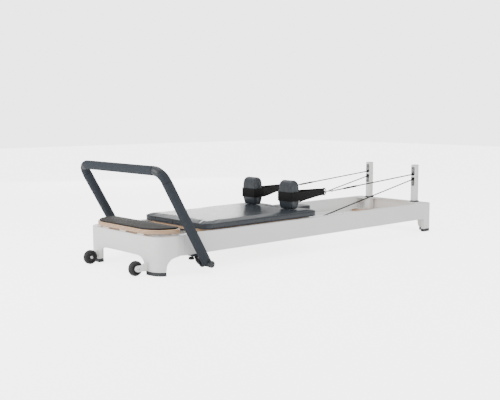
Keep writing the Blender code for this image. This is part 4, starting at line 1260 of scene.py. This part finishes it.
def strap(name, side):
    """Webbing round the rest, drawn together at the ring, with its sewn end."""
    inner, outer = strap_path(0.0), strap_path(STRAP_THICK)
    rings = []
    for (xi, yi), (xo, yo) in zip(inner, outer):
        (low, high), e = strap_edges(xi), 0.0006
        mx, my = (xi + xo) / 2, (yi + yo) / 2
        corners = [(xi, yi, low + e), (mx, my, low), (xo, yo, low + e)]
        corners += [(xo, yo, (low + high) / 2), (xo, yo, high - e)]
        corners += [(mx, my, high), (xi, yi, high - e), (xi, yi, (low + high) / 2)]
        rings.append([(x, side * y, z) for x, y, z in corners])
    bm = bmesh.new()
    skin(bm, rings, closed=True)
    stand_in(f"strap_loop_{name}", bm, "webbing", "carriage", 60)
    strap_sewing(name, side, outer)
    bm = bmesh.new()
    path = []
    for a in angles(-75, 75, 16):
        path.append((RING_X + 0.0225 * math.cos(a), side * RING_Y, RING_Z + 0.0235 * math.sin(a)))
    path += [(RING_X, side * RING_Y, RING_Z + z) for z in (0.0235, 0.012, 0.0, -0.012, -0.0235)]
    pipe(bm, path, 0.003, 16, closed=True)
    stand_in(f"strap_ring_{name}", bm, "black_plastic", "carriage")
    snap_hook(name, side)


def strap_sewing(name, side, outer):
    """Three rows of thread across both legs of the strap, near the ring."""
    bm = bmesh.new()
    for x in (0.226, 0.236, 0.246):
        low, high = strap_edges(x)
        for y in (strap_side(outer, x, 1), strap_side(outer, x, -1)):
            path = [(x, side * y, low + 0.004), (x, side * y, high - 0.004)]
            stitches(bm, path)
    add_piece(f"strap_stitches_{name}", bm, "webbing", "carriage")


def strap_side(outer, x, half):
    """The y of the strap's outer or inner leg at that x."""
    middle = len(outer) // 2
    points = outer[:middle] if half > 0 else outer[middle:]
    return min(points, key=lambda p: abs(p[0] - x))[1]


def snap_hook(name, side):
    y = side * RING_Y
    x0, x1, r = 0.2765, 0.366, 0.009
    bm = bmesh.new()
    bow = arc(x0 + r, y, r, 60, 270, 12)
    eye = arc(x1 - 0.007, y, 0.007, -90, 90, 12)
    neck = 0.338
    spine = [(0.30, y - r), (0.325, y - r), (neck, y - 0.0045)]
    back = [(neck, y + 0.0045), (0.327, y + r * 0.95), (0.319, y + r)]
    path = [(x, b, RING_Z) for x, b in bow + spine + [(neck + 0.006, y - 0.0052)] + eye]
    path += [(x, b, RING_Z) for x, b in [(neck + 0.006, y + 0.0052)] + back]
    radii = [0.003] * len(path)
    radii[0] = radii[-1] = 0.0022
    pipe(bm, path, radii, 12)
    gate = [(0.319, y + r, RING_Z), (0.3, y + r, RING_Z), (0.284, y + r * 0.9, RING_Z)]
    pipe(bm, gate, [0.0024, 0.0022, 0.0024], 10)
    stand_in(f"snap_hook_{name}", bm, "steel", "carriage")
    bm = bmesh.new()
    collar = [(0.0062, -0.004), (0.0075, -0.003), (0.0075, 0.003), (0.0062, 0.004)]
    turned(bm, collar, (neck + 0.003, y, RING_Z), "x", 24, closed=False)
    add_piece(f"hook_swivel_{name}", bm, "steel", "carriage")


def springs():
    for number, y in enumerate(SPRING_YS, 1):
        x0, x1 = SPRING_X
        turns, r, wire = 62, 0.0092, 0.0012
        path = [(x0 + 0.002, y, SPRING_Z), (x0 + 0.012, y, SPRING_Z)]
        body = (x0 + 0.028, x1 - 0.028)
        for i in range(turns * 12 + 1):
            t = i / (turns * 12)
            a = 2 * math.pi * turns * t
            grow = min(1.0, min(t, 1 - t) * 40)
            swing = r * (0.2 + 0.8 * grow)
            x = body[0] + (body[1] - body[0]) * t
            path.append((x, y + swing * math.cos(a), SPRING_Z + swing * math.sin(a)))
        path += [(x1 - 0.012, y, SPRING_Z), (x1 - 0.002, y, SPRING_Z)]
        bm = bmesh.new()
        pipe(bm, path, wire, 6)
        made = add_piece(f"spring_{number}_coil", bm, "spring_steel", None, [f"spring_{number}"])
        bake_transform(made)


def rollers():
    for where, x in ROLLER_X.items():
        for name, side in LEFT_RIGHT:
            half = [(0.0045, 0.008), (0.009, 0.008), (0.0095, 0.0065), (0.017, 0.0065)]
            half += [(0.0178, 0.008), (ROLLER_R - 0.0012, 0.0078), (ROLLER_R - 0.0001, 0.006)]
            bm = bmesh.new()
            turned(bm, mirrored(half), (x, side * ROLLER_Y, ROLLER_Z), "y", 40)
            node = f"roller_{where}_{name}"
            stand_in(node, bm, "tyre", node)


# Footbar


def on_footbar(along, y):
    x = PIVOT[0] - along * math.sin(ARM_LEAN)
    return (x, y, PIVOT[1] + along * math.cos(ARM_LEAN))


def elbow_path(side, start, end, steps):
    points = []
    for a in angles(start, end, steps):
        along = ARM_LENGTH - ELBOW_R + ELBOW_R * math.sin(a)
        points.append(on_footbar(along, side * (ARM_Y - ELBOW_R + ELBOW_R * math.cos(a))))
    return points


def footbar():
    for name, side in LEFT_RIGHT:
        top = ARM_LENGTH - ELBOW_R - 0.001
        bottom = [(0.0, ARM_R - 0.004), (0.0006, ARM_R - 0.0018)]
        bottom += [(0.002, ARM_R - 0.0005), (0.004, ARM_R)]
        steps = [(0.004 + (top - 0.004) * i / 24, ARM_R) for i in range(1, 24)]
        steps += [(top - 0.0012, ARM_R), (top - 0.0004, ARM_R - 0.0004), (top, ARM_R - 0.0012)]
        bm = bmesh.new()
        stations = bottom + steps
        path = [on_footbar(v, side * ARM_Y) for v, _ in stations]
        pipe(bm, path, [r for _, r in stations], 40)
        arm = stand_in(f"footbar_arm_{name}", bm, "foam", "footbar")
        hole = bmesh.new()
        pipe(hole, [(PIVOT[0], side * y, PIVOT[1]) for y in (0.34, 0.44)], 0.0186, 40)
        cut(arm, hole)
        footbar_elbow(name, side)
    bm = bmesh.new()
    half = ARM_Y - ELBOW_R - 0.0012
    xs = [-half, -half + 0.0004, -half + 0.0014] + [half * i / 12 for i in range(-11, 12)]
    xs += [half - 0.0014, half - 0.0004, half]
    end = [GRIP_R - 0.0012, GRIP_R - 0.0004]
    radii = end + [GRIP_R] * 25 + end[::-1]
    pipe(bm, [on_footbar(ARM_LENGTH, y) for y in xs], radii, 40)
    grip = stand_in("footbar_grip", bm, "foam", "footbar")


def footbar_elbow(name, side):
    """A foam sleeve next to the arm, a moulded cap next to the bar, and the joints between."""
    r = GRIP_R + 0.0006
    bm = bmesh.new()
    path = elbow_path(side, 2, 45, 12)
    pipe(bm, path, [r - 0.001, *([r] * 11), r - 0.001], 40)
    add_piece(f"elbow_sleeve_{name}", bm, "foam", "footbar", [f"footbar_elbow_{name}"])
    bm = bmesh.new()
    path = elbow_path(side, 48, 86, 12)
    pipe(bm, path, [GRIP_R - 0.001, *([GRIP_R] * 11), GRIP_R - 0.001], 40)
    add_piece(f"elbow_cap_{name}", bm, "coated_steel", "footbar")
    bm = bmesh.new()
    joints = ((-0.7, 2.3, -0.0016), (44.6, 48.4, -0.0012), (85.6, 90.7, -0.0016))
    for start, end, grow in joints:
        pipe(bm, elbow_path(side, start, end, 2), GRIP_R + grow, 40)
    add_piece(f"elbow_joints_{name}", bm, "black_plastic", "footbar")


def knob(name, side):
    center = Vector((PIVOT[0] - 0.04, side * 0.305, 0.068))
    lobes, points = 5, 80
    low, high = 0.0595, 0.076
    rings = []
    profile = [(low, 0.84), (low + 0.0012, 0.94), (low + 0.0035, 1.0)]
    profile += [(high - 0.006, 1.0), (high - 0.003, 0.93), (high - 0.001, 0.6)]
    for z, shrink in profile:
        ring = []
        for i in range(points):
            a = 2 * math.pi * i / points
            r = shrink * (0.0143 + 0.0026 * math.cos(lobes * a))
            ring.append((center.x + r * math.cos(a), center.y + r * math.sin(a), z))
        rings.append(ring)
    bm = bmesh.new()
    skin(bm, rings)
    stand_in(f"clamp_knob_{name}", bm, "black_plastic", f"knob_{name}")
    bm = bmesh.new()
    stud = [(0.0042, 0.075), (0.0042, 0.0797)]
    turned(bm, stud, (center.x, center.y, 0.0), "z", 24, closed=False)
    add_piece(f"knob_stud_{name}", bm, "steel", f"knob_{name}")


def kept_nodes():
    """CAD nodes that stay get their material and eased edges."""
    slots = {s["node"]: s["material_slot"] for s in frame["record"]["subparts"]}
    for node, made in frame["nodes"].items():
        made.data.materials.clear()
        made.data.materials.append(MATERIALS[slots[node]])
        if made.hide_render:
            continue
        bevel = made.modifiers.new("eased", "BEVEL")
        bevel.width = 0.0007
        bevel.segments = 2
        bevel.limit_method = "ANGLE"
        bevel.angle_limit = math.radians(35)


MATERIALS = {name: make(name, *values) for name, (make, *values) in PAINTS.items()}
camera()
for side_name, side_sign in LEFT_RIGHT:
    rope(side_name, side_sign)
studio()
foot_end()
head_end()
rails()
platform()
head_shelf()
carriage()
springs()
rollers()
footbar()
for side_name, side_sign in LEFT_RIGHT:
    riser(side_name, side_sign)
    wheel(side_name, side_sign)
    shoulder_rest(side_name, side_sign)
    strap(side_name, side_sign)
    knob(side_name, side_sign)
kept_nodes()
